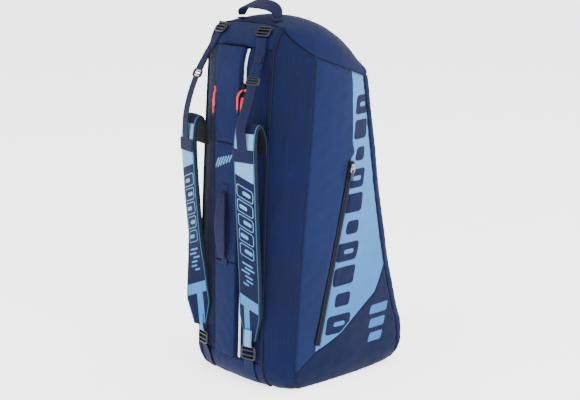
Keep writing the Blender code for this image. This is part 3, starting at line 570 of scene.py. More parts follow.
# ---- top cap ------------------------------------------------------------------------------------
# The domed top, twill like the sides, sewn down over the gussets, the side panels and the back. Each
# row is an arch from seam to seam over the crown line, a quarter sine out and a cosine down.
seam = np.concatenate([wall("gusset", np.linspace(0, 1, 22), FRONT_TOP),
                       wall("side", np.linspace(0, 1, 48), FRONT_TOP)[1:],
                       wall("corner", np.linspace(0, 1, 12), FRONT_TOP)[1:]])
s = np.linspace(0, 1, len(seam))
crown_s = (0.0, 0.10, 0.22, 0.40, 0.55, 0.72, 0.86, 1.0)
middle_y = np.interp(s, crown_s, (0.073, 0.098, 0.127, 0.172, 0.212, 0.252, 0.278, 0.286))
middle_z = np.interp(s, crown_s, (0.742, 0.750, 0.755, 0.750, 0.736, 0.709, 0.674, 0.641))
ease = np.hanning(15) / np.hanning(15).sum()
middle_y, middle_z = (np.convolve(np.pad(line, 7, mode="reflect", reflect_type="odd"), ease, "valid")
                      for line in (middle_y, middle_z))
t = np.linspace(-1, 1, 120)[:, None]
cap_grid = np.stack([np.sin(t * np.pi / 2) * seam[:, 0],
                     middle_y + (seam[:, 1] - middle_y) * np.sin(t * np.pi / 2) ** 2,
                     seam[:, 2] + (middle_z - seam[:, 2]) * np.cos(t * np.pi / 2) ** 0.85], axis=2)
cap_look = cloth_look("cap_twill", srgb(34, 56, 104), srgb(42, 66, 116), pitch=0.0028,
                      thread=srgb(54, 74, 118))
sewn_panel("top_cap", 1, cap_grid, cap_look, "outer_cloth", seed=111, roll=0.0015)


# ---- spine pads ---------------------------------------------------------------------------------
# Three foam pads under one fine weave, sewn across between the zips. Shaped directly: full in the
# middle, rolled over at the hems, with short puckers where the seams pull. A row of printed dashes
# crosses the middle one.
pad_look = cloth_look("pad_cloth", srgb(32, 54, 104), srgb(38, 62, 114), pitch=0.0018, turn=0.0, uneven=0.45,
                      thread=srgb(50, 72, 118), offset=0.0052,
                      prints=(("dash_print", (0.03, 0.17, 0.25, 1), (0.08, 0.24, 0.38, 1)),))
pad_bay = 0.0046                      # from the zip's centre line to the pad's hem
pad_height, pad_crown, pad_roll = 0.0108, 0.0016, 0.0038
for name, low, high in (("spine_lower_panel", 0.056, 0.257), ("spine_middle_panel", 0.257, 0.503),
                        ("spine_upper_panel", 0.503, 0.6965)):
    across = np.sin(np.linspace(-1, 1, 76) * np.pi / 2)[:, None]
    at = (low + (high - low) * (0.5 - 0.5 * np.cos(np.linspace(0, np.pi, 120))))[None, :]
    grid = np.stack([across * (zip_x(at) - pad_bay), spine_y(at) + 0 * across, at + 0 * across], axis=2)
    u, v = lengths(grid)
    hem = np.minimum.reduce([u, u[-1:] - u, 3.0 * v, 3.0 * (v[:, -1:] - v)])
    full = np.clip(hem / 0.034, 0, 1)
    dashes = np.full(u.shape, -1.0)
    for k in range(6):
        middle, half = (-0.029 + 0.0088 * k, 0.458 + 0.0030 * k), (0.0022, 0.0120 - 0.0008 * k)
        dashes = np.maximum(dashes, bar(grid[:, :, 0], grid[:, :, 2], middle, half, 0.55, 0.0012))
    relief = pad_height * (1 - tuck(hem, pad_roll)) + pad_crown * np.sin(full * np.pi / 2) - 0.0012
    made = sewn_panel(name, 1, grid, pad_look, "spine_pad", seed=int(1000 * low), roll=0.0, puff=0.0,
                      crease=0.0009, dash_print=dashes, shape=relief)


# ---- pipings ------------------------------------------------------------------------------------
# A doubled bound cord in each crease of the spine face, from the base to the hip of the cap seam.
def sections(path, across, width, thick, power=0.35, sides=28, crown=0.0):
    """Closed loops round a path: flattened ovals, width along across and thick square to it.

    A low power squares the oval, and crown thins it towards its sides. The points lie evenly round
    each loop. Returns them, their distance across and their side (1 outside, -1 inside).
    """
    along = np.gradient(path, axis=0)
    across = np.asarray(across, float) / np.linalg.norm(across, axis=-1, keepdims=True)
    through = np.cross(along, across)
    through /= np.linalg.norm(through, axis=1)[:, None]
    turn = np.linspace(0, math.tau, 4001)
    flat = np.sign(np.cos(turn)) * np.abs(np.cos(turn)) ** power
    deep = np.sign(np.sin(turn)) * np.abs(np.sin(turn)) ** power
    run = np.hypot(np.diff(flat), np.diff(deep) * np.mean(thick) / np.mean(width))
    run = np.concatenate([[0], np.cumsum(run)])
    even = np.arange(sides) / sides * run[-1]
    flat, deep = np.interp(even, run, flat), np.interp(even, run, deep)
    a = np.multiply.outer(np.broadcast_to(width, len(path)) / 2, flat)
    h = np.multiply.outer(np.broadcast_to(thick, len(path)) / 2, deep * (1 - crown * flat**2))
    sideways = a[:, :, None] * np.broadcast_to(across, path.shape)[:, None]
    return path[:, None] + sideways + h[:, :, None] * through[:, None], a, np.broadcast_to(deep, a.shape)


def tube_faces(count, sides):
    """Faces of a closed tube through count rings of sides points, capped by fans of its own ends."""
    cell = np.arange(count * sides).reshape(count, sides)
    on = np.roll(cell, -1, axis=1)
    wall = np.stack([cell[:-1], on[:-1], on[1:], cell[1:]], axis=2).reshape(-1, 4)
    return wall.tolist() + [cell[0].tolist(), cell[-1][::-1].tolist()]


def sweep(name, side, loops, a, look, body, slot, stands_for=(), **fields):
    """A closed piece from loops round a path, with its cloth measured across and along."""
    step = np.linalg.norm(np.diff(loops.mean(axis=1), axis=0), axis=1)
    run = np.concatenate([[0], np.cumsum(step)])[:, None] + 0 * a
    hem = np.abs(a).max(axis=1)[:, None] - np.abs(a)
    return add_piece(name, loops * (side, 1, 1), tube_faces(*a.shape), look, body, slot, stands_for,
                     cloth=np.stack([a, run, 0 * a], axis=2), edge=hem, **fields)


piping_look = cloth_look("piping_binding", srgb(28, 46, 88), srgb(34, 54, 98), pitch=0.0016, turn=0.7,
                         roughness=0.6)
cord_width, cord_thick, cord_gap = 0.0031, 0.0034, 0.0034
at = heights(0.004, 0.736, 220)
crease_grid = np.stack([wall("flap", 1.0 - k, at) for k in (0.02, 0.0, 0.02)])
crease_line, crease_out = crease_grid[1], outward(crease_grid[:2])[1]
crease_out /= np.linalg.norm(crease_out, axis=1)[:, None]
crease_aside = np.cross(np.gradient(crease_line, axis=0), crease_out)
crease_aside /= np.linalg.norm(crease_aside, axis=1)[:, None]
for name, side in SIDES:
    for label, offset in (("a", -cord_gap / 2), ("b", cord_gap / 2)):
        path = crease_line + crease_out * 0.0008 + crease_aside * offset
        loops, a, _ = sections(path, crease_aside, cord_width, cord_thick, power=1.0, sides=10)
        sweep(f"{name}_piping_{label}", side, loops, a, piping_look, "shell", "piping", (name + "_piping",))


# ---- main zips ----------------------------------------------------------------------------------
# Woven tape with a pale moulded coil on it: two rows of teeth that meet in a fine groove. The coil
# lies a little back between the pads and the flaps.
def zip_grid(left, right, columns, rows):
    """Grid along the main zip, its sides measured from the zip's centre line."""
    z = np.linspace(0.0575, 0.6955, rows)[None, :]
    x = np.linspace(left, right, columns)[:, None]
    return np.stack([zip_x(z) + x, spine_y(z) + 0 * x, z + 0 * x], axis=2), x, z


def coil_relief(x, run, half, pitch):
    """Height of a zip's teeth: rounded across each row, ribbed along it, the rows half a tooth apart."""
    ribs = 0.5 + 0.5 * np.cos(math.tau * (run / pitch + 0.5 * (x > 0)))
    body = np.sqrt(np.clip(1 - (2 * np.abs(x) / half - 1) ** 2, 0, 1))
    return body * (0.55 + 0.45 * ribs**0.6)


tape_look = cloth_look("zip_tape_cloth", srgb(60, 74, 112), srgb(74, 88, 126), pitch=0.0016, turn=0.6)
coil_look = cloth_look("zip_coil_nylon", (0.60, 0.64, 0.72, 1), (0.68, 0.71, 0.78, 1), pitch=0.0016, turn=0.0,
                       uneven=0.1, roughness=0.45, relief=0.1, coat=0.15)
coil_half, tooth_pitch, tooth_height = 0.0034, 0.0020, 0.0016
for name, side in SIDES:
    for label, span, count, depth, look in (("tape", (-0.0058, 0.0061), (10, 160), 0.0010, tape_look),
                                            ("coil", (-coil_half, coil_half), (13, 1960), 0.0012, coil_look)):
        grid, x, z = zip_grid(*span, *count)
        teeth = tooth_height * coil_relief(x, z, coil_half, tooth_pitch)
        outer, inner = grid.copy(), grid.copy()
        outer[:, :, 1] += depth - ((teeth if label == "coil" else 0.0002) + 0 * z)
        inner[:, :, 1] += depth + 0.0009
        cloth = np.stack([x + 0 * z, z + 0 * x, 0 * z + 0 * x], axis=2)
        add_piece(f"{name}_zip_{label}_woven", np.stack([outer, inner]) * (side, 1, 1), slab_faces(*count),
                  look, "shell", "zip_" + label, (f"{name}_zip_{label}",), cloth=np.stack([cloth, cloth]),
                  edge=np.full((2, *grid.shape[:2]), 0.02))


# ---- zip sliders and pulls ----------------------------------------------------------------------
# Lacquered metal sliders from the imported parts. Each pull is a wire link with a tapered red tongue,
# moulded, with a black tip. The lower pull hangs straight, the upper one beside it.
def metal_look(name, colour, worn, roughness=0.35, metallic=0.9):
    """Metal or lacquer with fine scratches and rubbed spots."""
    made = bpy.data.materials.new(name)
    made.use_nodes = True
    tree = made.node_tree
    shader = tree.nodes["Principled BSDF"]
    spot = node(tree, "TexCoord").outputs["Object"]
    rub = node(tree, "TexNoise", {"Vector": spot, "Scale": 380.0, "Detail": 4.0}).outputs[0]
    fine = node(tree, "TexNoise", {"Vector": spot, "Scale": 2600.0, "Detail": 2.0}).outputs[0]
    tree.links.new(mix(tree, ramp(tree, rub, 0.55, 0.75), colour, worn), shader.inputs["Base Color"])
    rough = ramp(tree, rub, 0.2, 0.8, roughness + 0.12, roughness - 0.06)
    tree.links.new(rough, shader.inputs["Roughness"])
    shader.inputs["Metallic"].default_value = metallic
    bump = node(tree, "Bump", {"Height": fine, "Strength": 0.15, "Distance": 0.0002})
    tree.links.new(bump.outputs[0], shader.inputs["Normal"])
    return made


def paint_nodes(look, *nodes):
    """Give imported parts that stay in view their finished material."""
    for label in nodes:
        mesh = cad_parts[label].data
        mesh.materials.clear()
        mesh.materials.append(look)


black_metal = metal_look("black_lacquer", srgb(26, 27, 32), srgb(70, 72, 80), roughness=0.3, metallic=0.6)
steel = metal_look("brushed_steel", (0.30, 0.31, 0.33, 1), (0.62, 0.63, 0.66, 1))
paint_nodes(black_metal, *(f"{name}_{which}_slider" for name, side in SIDES for which in ("lower", "upper")))
paint_nodes(steel, "left_pocket_slider", "right_pocket_slider")


def rubber_look(name, colour, dark, tip_height, sheen=0.1, roughness=0.5):
    """Matt moulding with a fine grain; the attribute tip picks out its dark end."""
    made = bpy.data.materials.new(name)
    made.use_nodes = True
    tree = made.node_tree
    shader = tree.nodes["Principled BSDF"]
    spot = node(tree, "TexCoord").outputs["Object"]
    grain = node(tree, "TexNoise", {"Vector": spot, "Scale": 1500.0, "Detail": 3.0}).outputs[0]
    dust = node(tree, "TexNoise", {"Vector": spot, "Scale": 160.0, "Detail": 3.0}).outputs[0]
    pale = tuple(0.8 * c + 0.006 for c in colour[:3]) + (1.0,)
    paint = mix(tree, ramp(tree, dust, 0.45, 0.8, 0.0, 0.5), colour, pale)
    paint = mix(tree, ramp(tree, attribute(tree, "tip"), tip_height, tip_height + 0.02), paint, dark)
    tree.links.new(paint, shader.inputs["Base Color"])
    rough = ramp(tree, dust, 0.3, 0.8, roughness - 0.08, roughness + 0.1)
    tree.links.new(rough, shader.inputs["Roughness"])
    shader.inputs["Sheen Weight"].default_value = sheen
    shader.inputs["Specular IOR Level"].default_value = 0.3
    bump = node(tree, "Bump", {"Height": grain, "Strength": 0.25, "Distance": 0.0003})
    tree.links.new(bump.outputs[0], shader.inputs["Normal"])
    return made


def ring_path(radius_x, radius_z, count, power=1.0):
    """A flat closed loop in the x-z plane: a circle, or a rounded rectangle for a low power."""
    turn = np.linspace(0, math.tau, count, endpoint=False)
    return np.stack([radius_x * np.sign(np.cos(turn)) * np.abs(np.cos(turn)) ** power, 0 * turn,
                     radius_z * np.sign(np.sin(turn)) * np.abs(np.sin(turn)) ** power], axis=1)


def closed_tube(path, radius, sides=10, flat=1.0):
    """Points and faces of a round rod bent into the closed loop path, which lies in the x-z plane."""
    along = np.roll(path, -1, axis=0) - np.roll(path, 1, axis=0)
    along /= np.linalg.norm(along, axis=1)[:, None]
    square = np.cross(along, (0.0, 1.0, 0.0))
    turn = np.arange(sides) * math.tau / sides
    points = (path[:, None] + radius * np.cos(turn)[None, :, None] * square[:, None]
              + radius * flat * np.sin(turn)[None, :, None] * np.array((0.0, 1.0, 0.0)))
    cell = np.arange(len(path) * sides).reshape(len(path), sides)
    down, on = np.roll(cell, -1, axis=0), np.roll(cell, -1, axis=1)
    faces = np.stack([cell, on, np.roll(down, -1, axis=1), down], axis=2).reshape(-1, 4)
    return points.reshape(-1, 3), faces.tolist()


def joined(parts):
    """One list of points and faces from several (points, faces)."""
    points, faces = [], []
    for more, shape in parts:
        start = sum(map(len, points))
        points.append(np.asarray(more).reshape(-1, 3))
        faces += [[k + start for k in face] for face in shape]
    return np.concatenate(points), faces


def rod(path, across, width, thick, power=0.6, sides=12):
    """Points and faces of a closed bar along a path."""
    loops, a, _ = sections(np.asarray(path, float), across, width, thick, power, sides)
    return loops.reshape(-1, 3), tube_faces(*a.shape)


def frame_at(origin, across, up):
    """Axes of a small frame as rows: x along across, z as near up as can be, -y facing out."""
    x = np.array(across, float) / np.linalg.norm(across)
    y = np.cross(np.array(up, float), x)
    y /= np.linalg.norm(y)
    return np.array([x, y, np.cross(x, y)]), np.array(origin, float)


def placed(points, spot):
    """Points of a small frame put in their place on the bag."""
    axes, origin = spot
    return points @ axes + origin


red_look = rubber_look("red_moulding", (0.42, 0.022, 0.013, 1), (0.006, 0.006, 0.008, 1), 0.86)
tongue_width, tongue_thick, tongue_length, tongue_sides = 0.0064, 0.0024, 0.0460, 20
link_out, link_drop = 0.0052, 0.0062  # where the tongue starts, from the slider's middle
t = np.linspace(0, 1, 40)[:, None]
rounded = np.clip(t[:, 0] * 14 + 0.45, 0, 1)
width = tongue_width * rounded * (1 - 0.36 * t[:, 0]) * np.sqrt(np.clip((1.02 - t[:, 0]) * 14, 0, 1))
thick = tongue_thick * np.sqrt(np.clip((1.02 - t[:, 0]) * 10, 0, 1))
link, link_faces = closed_tube(ring_path(0.0030, 0.0042, 28, 0.8), 0.00052)
link = link + (0.0, -0.00485, -0.0040)
for name, side in SIDES:
    for which, z, stand_off, aside in (("lower", 0.606, 0.0090, 0.0004),
                                       ("upper", 0.621, 0.0128, -0.0068)):
        spot = frame_at((zip_x(z), spine_y(z), z), (1, 0, 0), (0.0133, 0.0262, 1.0))
        hang = np.concatenate([aside * np.clip(t * 6, 0, 1) ** 0.8,
                               -link_out - (stand_off - link_out) * np.clip(t * 3, 0, 1),
                               -link_drop - tongue_length * t], axis=1)
        tongue = rod(hang, (1, 0, 0), width, thick, power=0.6, sides=tongue_sides)
        points, faces = joined([tongue, (link, link_faces)])
        tip = np.concatenate([np.repeat(t[:, 0], tongue_sides), np.ones(len(link))])
        add_piece(f"{name}_{which}_pull_tongue", placed(points, spot) * (side, 1, 1), faces, red_look,
                  f"{name}_{which}_pull", "zip_pull", (f"{name}_{which}_pull",), tip=tip)


# ---- side pockets -------------------------------------------------------------------------------
# A straight dark zip down each side panel, with a steel slider, a ring and a short dark teal tab.
# The zip is sewn on flat, on a straight line that clears the panel's swell.
def side_x(y, z):
    """Outer face of the side panel at depth y and height z."""
    share = np.clip((y - seam_y(z)) / (back_y(z) - CORNER - seam_y(z)), 0, 1)
    return half_width(z) + (corner_x(z) - half_width(z)) * share**2 + 0.004 * np.sin(np.pi * share)


pocket_half, pocket_coil = 0.0062, 0.0026   # half widths of the strip and of its teeth
pocket_top, pocket_foot = np.array(pocket_top), np.array(pocket_foot)
t = np.linspace(0, 1, 1100)
y, z = (pocket_foot[:, None] + (pocket_top - pocket_foot)[:, None] * t)
swollen = np.maximum.reduce([side_x(y + off, z) for off in (-0.005, 0.0, 0.005)])
chord = swollen[0] + (swollen[-1] - swollen[0]) * t
pocket_line = np.stack([chord + np.max(swollen - chord) + 0.0008, y, z], axis=1)
pocket_run = pocket_line[-1] - pocket_line[0]
pocket_aside = np.array([0.0, pocket_top[1] - pocket_foot[1], pocket_foot[0] - pocket_top[0]])
pocket_aside /= np.linalg.norm(pocket_aside)
pocket_look = cloth_look("pocket_zip_black", srgb(20, 26, 44), srgb(26, 33, 54), pitch=0.0018, turn=0.5,
                         roughness=0.6, thread=srgb(64, 78, 112), offset=0.0016)
off = np.linspace(-pocket_half, pocket_half, 27)[:, None]
run = t[None, :] * np.linalg.norm(pocket_run) + 0 * off
off = off + 0 * run
grid = pocket_line[None] + off[:, :, None] * pocket_aside
lift = 0.0006 + 0.0014 * coil_relief(off, run, pocket_coil, 0.0021) * (np.abs(off) < pocket_coil)
strip = np.stack([grid + (1, 0, 0) * lift[:, :, None], grid - (0.0034, 0, 0)])
cloth = np.stack([off, run, 0 * run], axis=2)
hem = pocket_half - np.abs(off)
for name, side in SIDES:
    add_piece(name + "_pocket_zip_woven", strip * (side, 1, 1), slab_faces(*run.shape), pocket_look, "shell",
              "pocket_tape", (name + "_pocket_zip",), cloth=np.stack([cloth, cloth]),
              edge=np.stack([hem, hem]))

teal_tab = rubber_look("teal_tab", srgb(30, 66, 90), srgb(172, 176, 184), 1.5)
along = pocket_run / np.linalg.norm(pocket_run)
spot = frame_at(pocket_line[-1] + (0.0018, 0, 0) - 0.012 * along, pocket_aside, pocket_run)
ring, ring_faces = closed_tube(ring_path(0.0052, 0.0062, 40), 0.0009)
ring = placed(ring + (0, -0.0040, -0.0060), spot)
t = np.linspace(0, 1, 24)[:, None]
width = 0.0082 * np.sqrt(np.clip((1.03 - t[:, 0]) * 8, 0, 1)) * np.clip(t[:, 0] * 9 + 0.5, 0, 1)
tab, tab_faces = rod(np.concatenate([0 * t, -0.0042 - 0.0012 * t, -0.0104 - 0.0175 * t], axis=1), (1, 0, 0),
                     width, 0.0022, sides=20)
tab = placed(tab, spot)
for name, side in SIDES:
    pull = name + "_pocket_pull"
    add_piece(name + "_pocket_ring", ring * (side, 1, 1), ring_faces, steel, pull, "pocket_metal", (pull,))
    add_piece(name + "_pocket_tab", tab * (side, 1, 1), tab_faces, teal_tab, pull, "pocket_metal",
              tip=np.zeros(len(tab)))


# ---- handles ------------------------------------------------------------------------------------
# Folded webbing: a broad arched carry handle over the yoke and a slimmer grip on the spine. Each
# end comes down on a stitched patch. The carry handle's crown leans forward, face up.
webbing_look = cloth_look("webbing_purple", srgb(52, 54, 92), srgb(60, 62, 100), pitch=0.0026, turn=0.0,
                          uneven=0.9, thread=srgb(90, 96, 134), offset=0.0030, relief=0.7)
navy_webbing = cloth_look("webbing_navy", srgb(36, 52, 96), srgb(42, 60, 106), pitch=0.0026, turn=0.0,
                          uneven=0.9, thread=srgb(70, 84, 126), offset=0.0030, relief=0.7)
handle_half, handle_y, handle_foot, handle_rise = 0.056, 0.086, 0.7532, 0.0258
turn = np.linspace(0, math.pi, 120)
path = np.stack([-handle_half * np.sign(np.cos(turn)) * np.abs(np.cos(turn)) ** 0.8,
                 handle_y + 0.0012 * np.sin(3 * turn),
                 handle_foot + handle_rise * np.sin(turn) ** 0.75], axis=1)
lean = math.radians(24) * np.sin(turn)
loops, a, _ = sections(path, np.stack([0 * lean, np.cos(lean), np.sin(lean)], axis=1),
                       0.014 + 0.024 * np.sin(turn) ** 0.5, 0.0040, power=0.4)
sweep("top_handle_webbing", 1, loops, a, webbing_look, "top_handle", "webbing", ("top_handle",))

grip_low, grip_length, grip_off, grip_arch = 0.266, 0.136, 0.0158, 0.0095
share = np.linspace(0, 1, 120)
arch = np.sin(np.pi * share)
z = grip_low + grip_length * share
path = np.stack([0.0006 * np.sin(9 * share), spine_y(z) - grip_off - grip_arch * arch**0.5, z], axis=1)
loops, a, _ = sections(path, (1, 0, 0), 0.008 + 0.026 * arch**0.4, 0.0034, power=0.4)
sweep("grip_handle_webbing", 1, loops, a, webbing_look, "grip_handle", "webbing", ("grip_handle",))
for z in (0.258, 0.410):
    t = np.linspace(-0.5, 0.5, 20)
    path = np.stack([0 * t, spine_y(z) - 0.0118 + 0 * t, z + 0.016 * t], axis=1)
    loops, a, _ = sections(path, (1, 0, 0), 0.020, 0.0016, power=0.3)
    sweep(f"grip_patch_{int(1000 * z)}", 1, loops, a, webbing_look, "shell", "webbing")

patch_x, patch_length, patch_z = 0.047, 0.0134, 0.7480
for name, side in SIDES:
    t = np.linspace(0, 1, 20)
    path = np.stack([patch_x + patch_length * t, handle_y + 0 * t, patch_z + 0 * t], axis=1)
    loops, a, _ = sections(path, (0, 1, 0), 0.020, 0.0026, power=0.3)
    sweep(name + "_handle_patch", side, loops, a, webbing_look, "shell", "webbing",
          (name + "_handle_anchor",))


# ---- shoulder straps ----------------------------------------------------------------------------
# Foam pads with a printed face, dark teal side walls and a black mesh back, sewn to the flaps at
# their root and looped over. Shaped directly, with a slight wave where the foam gives. A webbing
# band crosses the face. Below the grip the left strap lies turned towards the spine.
def smooth_path(points, count):
    """A Catmull-Rom curve through a few points, sampled at count places of equal length."""
    points = np.asarray(points, float)
    padded = np.vstack([2 * points[0] - points[1], points, 2 * points[-1] - points[-2]])
    fine = []
    for k in range(len(points) - 1):
        p0, p1, p2, p3 = padded[k:k + 4]
        t = np.linspace(0, 1, 24, endpoint=False)[:, None]
        fine.append(0.5 * (2 * p1 + (p2 - p0) * t + (2 * p0 - 5 * p1 + 4 * p2 - p3) * t**2
                           + (3 * p1 - p0 - 3 * p2 + p3) * t**3))
    fine = np.vstack(fine + [points[-1:]])
    length = np.concatenate([[0], np.cumsum(np.linalg.norm(np.diff(fine, axis=0), axis=1))])
    wanted = np.linspace(0, length[-1], count)
    return np.stack([np.interp(wanted, length, fine[:, k]) for k in range(3)], axis=1)


strap_turn = math.radians(10)
strap_across = np.array([math.cos(strap_turn), math.sin(strap_turn), 0.0])
strap_line = ((0.0880, 0.0030, 0.492), (0.0880, -0.0020, 0.527), (0.0885, -0.0125, 0.549),
              (0.0900, -0.0245, 0.541), (0.0910, -0.0290, 0.505), (0.0905, -0.0265, 0.430),
              (0.0880, -0.0205, 0.330), (0.0830, -0.0110, 0.210), (0.0790, -0.0075, 0.105))
path = smooth_path(strap_line, 420)
share = np.linspace(0, 1, len(path))
width = np.interp(share, (0, 0.05, 0.90, 1), (0.050, 0.056, 0.056, 0.030))
thick = np.interp(share, (0, 0.10, 0.24, 0.85, 1), (0.0070, 0.0090, 0.0130, 0.0130, 0.0070))
thick = thick * (1 + 0.04 * np.sin(share * 31) + 0.03 * np.sin(share * 57 + 1))
loops, a, deep = sections(path, strap_across, width, thick, power=0.42, sides=140, crown=0.10)
fullest = math.radians(34)
twist = fullest * np.clip((0.30 - path[:, 2]) / 0.14, 0, 1) ** 1.2 * (share > 0.5)
turned_across = np.stack([np.cos(strap_turn - twist), np.sin(strap_turn - twist), 0 * twist], axis=1)
turned_path = path.copy()
turned_path[:, 1] -= 0.0075 * np.sin(twist / fullest * math.pi / 2)
turned_loops = sections(turned_path, turned_across, width, thick, power=0.42, sides=140, crown=0.10)[0]

# The print, as (across, height): a block under the band, lozenges, short bars and a forked foot.
height = path[:, 2][:, None] + 0 * a
slant = height + 0.35 * a
rim = width[:, None] / 2 - np.abs(a)
face = np.where(deep > 0.2, 0.002, -0.002)
face_half = 0.024
light = area(a, height, [(-face_half, 0.60), (face_half, 0.60), (face_half, 0.438), (-face_half, 0.455)])
for k in range(5):
    middle = 0.416 - 0.0300 * k
    lozenge = bar(a, slant, (0.0, middle), (0.0205 - 0.0008 * k, 0.0120), 0.0, 0.0050)
    core = bar(a, slant, (0.0045 * (-1) ** k, middle), (0.0100, 0.0040), 0.0, 0.0034)
    light = np.maximum(light, np.maximum(0.0009 - np.abs(lozenge), core))
for k in range(6):
    light = np.maximum(light, bar(a, slant, (0.006 * math.sin(2.2 * k), 0.268 - 0.0088 * k),
                                  (0.0135 - 0.0012 * k, 0.0019), 0.0, 0.0018))
light = np.maximum(light, area(a, height, [(-face_half, 0.205), (face_half, 0.187), (face_half, 0.164),
                                           (0.001, 0.173), (0.001, 0.108), (-0.013, 0.108),
                                           (-0.013, 0.178), (-face_half, 0.182)]))
light = np.minimum.reduce([light, face, rim - 0.0035, 0 * a + (share[:, None] - 0.16)])
wall_print = np.minimum(0.0030 - rim, 0.002)
mesh_print = np.where(deep < -0.35, 0.002, -0.002)
binding = np.minimum(0.0009 - np.abs(rim - 0.0030), face)
strap_look = cloth_look("strap_face", srgb(30, 46, 86), srgb(34, 52, 94), pitch=0.0020, turn=0.8, uneven=0.4,
                        thread=srgb(50, 74, 112), offset=0.0042,
                        prints=(("light_print", (0.032, 0.130, 0.310, 1), (0.130, 0.270, 0.450, 1)),
                                ("wall_print", (0.0022, 0.0110, 0.0260, 1), (0.0030, 0.0150, 0.0330, 1)),
                                ("binding_print", (0.020, 0.070, 0.120, 1), (0.050, 0.150, 0.230, 1)),
                                ("mesh_print", srgb(15, 17, 24), srgb(18, 20, 28))))

band_height, band_width, band_half = 0.492, 0.0540, 0.0130
t = np.linspace(-1, 1, 30)
spot = frame_at((0.0910, -0.0357, band_height), strap_across, (0, 0, 1))
band_loops, band_a, _ = sections(np.stack([0 * t, -0.0010 + 0 * t, band_half * t], axis=1), (1, 0, 0),
                                 band_width, 0.0016, power=0.3)
band_loops = placed(band_loops.reshape(-1, 3), spot).reshape(band_loops.shape)
for name, side in SIDES:
    made = sweep(name + "_strap_foam", side, loops if side == 1 else turned_loops, a, strap_look,
                 name + "_strap", "strap_cloth", (name + "_strap_pad",), light_print=light,
                 wall_print=wall_print, mesh_print=mesh_print, binding_print=binding)
    sweep(name + "_strap_band_webbing", side, band_loops, band_a, webbing_look, name + "_strap", "webbing",
          (name + "_strap_band",))


# ---- load lifters -------------------------------------------------------------------------------
# 25 mm webbing from the high buckle to the strap: doubled and stitched down to the tri-glide, single
# from there to the band on the strap's face. On the bag the single part bends when the strap swings;
# here it rides on no body, with its transform baked in.
lifter_width = 0.0252
lifter = ((0.0690, 0.0340, 0.7180), (0.0790, 0.0200, 0.6880), (0.0880, -0.0030, 0.6450),
          (0.0920, -0.0235, 0.5960), (0.0895, -0.0385, 0.5500), (0.0905, -0.0388, 0.5150),
          (0.0908, -0.0372, 0.5020))
path = np.concatenate([smooth_path(lifter[:-1], 250), smooth_path(lifter[-2:], 14)[1:]])
doubled, glide_at, single = 97, 104, 112   # path points: end of the doubled part, tri-glide, single part
glide, glide_up = path[glide_at], path[glide_at - 20] - path[glide_at + 20]
upper, a_upper, _ = sections(path[:doubled], strap_across, lifter_width,
                             0.0034 + 0.0008 * np.sin(np.linspace(0, 9, doubled)), power=0.4)
lower, a_lower, _ = sections(path[single:], strap_across, 0.0250, 0.0016, power=0.35)
along = (path[60] - path[40]) / np.linalg.norm(path[60] - path[40])
out = np.cross(along, strap_across)
patch, a_patch, _ = sections(path[44:64] + out * 0.0026, strap_across, 0.0205, 0.0012, power=0.3)
for name, side in SIDES:
    sweep(name + "_lifter_upper_webbing", side, upper, a_upper, navy_webbing, "shell", "webbing",
          (name + "_lifter_upper",))
    sweep(name + "_lifter_patch", side, patch, a_patch, webbing_look, "shell", "webbing")
    made = sweep(name + "_lifter_lower_webbing", side, lower, a_lower, webbing_look, None, "webbing",
                 (name + "_lifter_lower",))
    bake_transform(made)


# ---- buckles and lower webbing ------------------------------------------------------------------
# Moulded black ladder buckles: frames with two bars across. The low one hangs from the strap's tip
# and takes the webbing that comes round the heel from the base seam. A pale tab keeps the tip.
def ladder(width, tall, deep, bar_size):
    """Points and faces of a moulded frame with two bars across it."""
    outer = closed_tube(ring_path((width - bar_size) / 2, (tall - bar_size) / 2, 72, 0.35), bar_size / 2,
                        14, flat=deep / bar_size)
    x = np.linspace(-0.5, 0.5, 12)[:, None] * (width - bar_size)
    bars = [rod(np.concatenate([x, 0 * x - 0.12 * deep, 0 * x + off], axis=1), (0, 0, 1), bar_size * 0.8,
                deep * 0.8) for off in (-0.16 * tall, 0.16 * tall)]
    return joined([outer] + bars)


buckle_look = rubber_look("moulded_black", srgb(22, 26, 38), srgb(22, 26, 38), 1.5, sheen=0.0, roughness=0.38)
pale_webbing = cloth_look("webbing_pale", (0.060, 0.190, 0.380, 1), (0.080, 0.230, 0.420, 1), pitch=0.0026,
                          turn=0.0, uneven=0.8, thread=srgb(70, 110, 150), offset=0.0030, relief=0.7)
# Each buckle: its frame, its width, height, depth and bar, and the body it rides on if not the shell.
buckles = (("tri_glide", frame_at(glide, strap_across, glide_up), (0.034, 0.019, 0.0056, 0.0038), None),
           ("high_buckle", frame_at((0.0670, 0.0410, 0.7300), strap_across, (0.0, 0.62, 0.78)),
            (0.036, 0.024, 0.0070, 0.0044), None),
           ("low_buckle", frame_at((0.0750, -0.0105, 0.078), strap_across, (0.0, 0.04, 1.0)),
            (0.038, 0.031, 0.0066, 0.0048), "_low_buckle"))
heel = wall("flap", np.array((0.60, 0.66, 0.72))[:, None], np.array((0.012, 0.026, 0.041)))
heel = heel[1] + outward(heel)[1] * 0.0042
heel[:, 0] = 0.070
heel_path = smooth_path(list(heel) + [np.array((0.0735, -0.0100, 0.0610))], 60)
heel_loops, a_heel, _ = sections(heel_path, strap_across, 0.025, 0.0016, power=0.35)
keeper_path = smooth_path([(0.0792, -0.0158, 0.128), (0.0784, -0.0166, 0.112), (0.0770, -0.0160, 0.098),
                           (0.0762, -0.0142, 0.0915)], 40)
keeper_loops, a_keeper, _ = sections(keeper_path, strap_across, 0.0215, 0.0018, power=0.35)
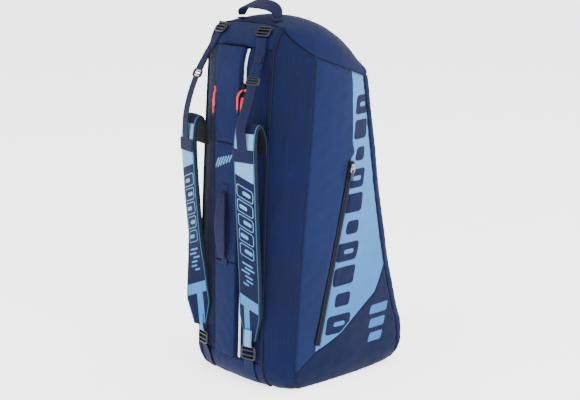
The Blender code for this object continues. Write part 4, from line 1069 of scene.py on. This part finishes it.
for name, side in SIDES:
    for label, spot, size, body in buckles:
        points, faces = ladder(*size)
        add_piece(f"{name}_{label}_moulding", placed(points, spot) * (side, 1, 1), faces, buckle_look,
                  name + body if body else "shell", "buckle", (f"{name}_{label}",),
                  tip=np.zeros(len(points)))
    sweep(name + "_heel_webbing", side, heel_loops, a_heel, navy_webbing, "shell", "light_webbing",
          (name + "_lower_webbing",))
    sweep(name + "_strap_keeper", side, keeper_loops, a_keeper, pale_webbing, name + "_strap",
          "light_webbing")


# ---- base and inside ----------------------------------------------------------------------------
# Coated cloth under the bag, a stiff board over it, foil linings along the walls, plain linings in
# the pockets and a cloth divider between the two compartments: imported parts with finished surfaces.
def plain_look(name, colour, accent, scale, roughness, metallic=0.0, relief=0.4):
    """Cloth, foil or board that follows object coordinates: a fine weave and slow soiling."""
    made = bpy.data.materials.new(name)
    made.use_nodes = True
    tree = made.node_tree
    shader = tree.nodes["Principled BSDF"]
    spot = node(tree, "TexCoord").outputs["Object"]
    weave = use(tree, twill, {"Cloth": spot, "Pitch": 0.0022, "Turn": 0.5})
    crumple = node(tree, "TexNoise", {"Vector": spot, "Scale": scale, "Detail": 4.0}).outputs[0]
    tree.links.new(mix(tree, ramp(tree, crumple, 0.35, 0.7), colour, accent), shader.inputs["Base Color"])
    rough = ramp(tree, crumple, 0.3, 0.7, roughness - 0.08, roughness + 0.08)
    tree.links.new(rough, shader.inputs["Roughness"])
    shader.inputs["Metallic"].default_value = metallic
    height = calc(tree, "MULTIPLY_ADD", crumple, 1.5, weave["Height"])
    bump = node(tree, "Bump", {"Height": height, "Strength": relief, "Distance": 0.0008})
    tree.links.new(bump.outputs[0], shader.inputs["Normal"])
    return made


paint_nodes(plain_look("coated_base", srgb(28, 38, 66), srgb(36, 46, 76), 26.0, 0.6), "base_panel")
paint_nodes(plain_look("stiff_board", srgb(40, 42, 46), srgb(52, 54, 58), 40.0, 0.55), "base_board")
paint_nodes(plain_look("foil", srgb(188, 190, 194), srgb(206, 208, 212), 60.0, 0.3, metallic=0.85),
            "left_foil_lining", "right_foil_lining")
paint_nodes(plain_look("lining_cloth", srgb(52, 56, 68), srgb(62, 66, 78), 30.0, 0.85),
            "left_pocket_lining", "right_pocket_lining", "centre_divider")
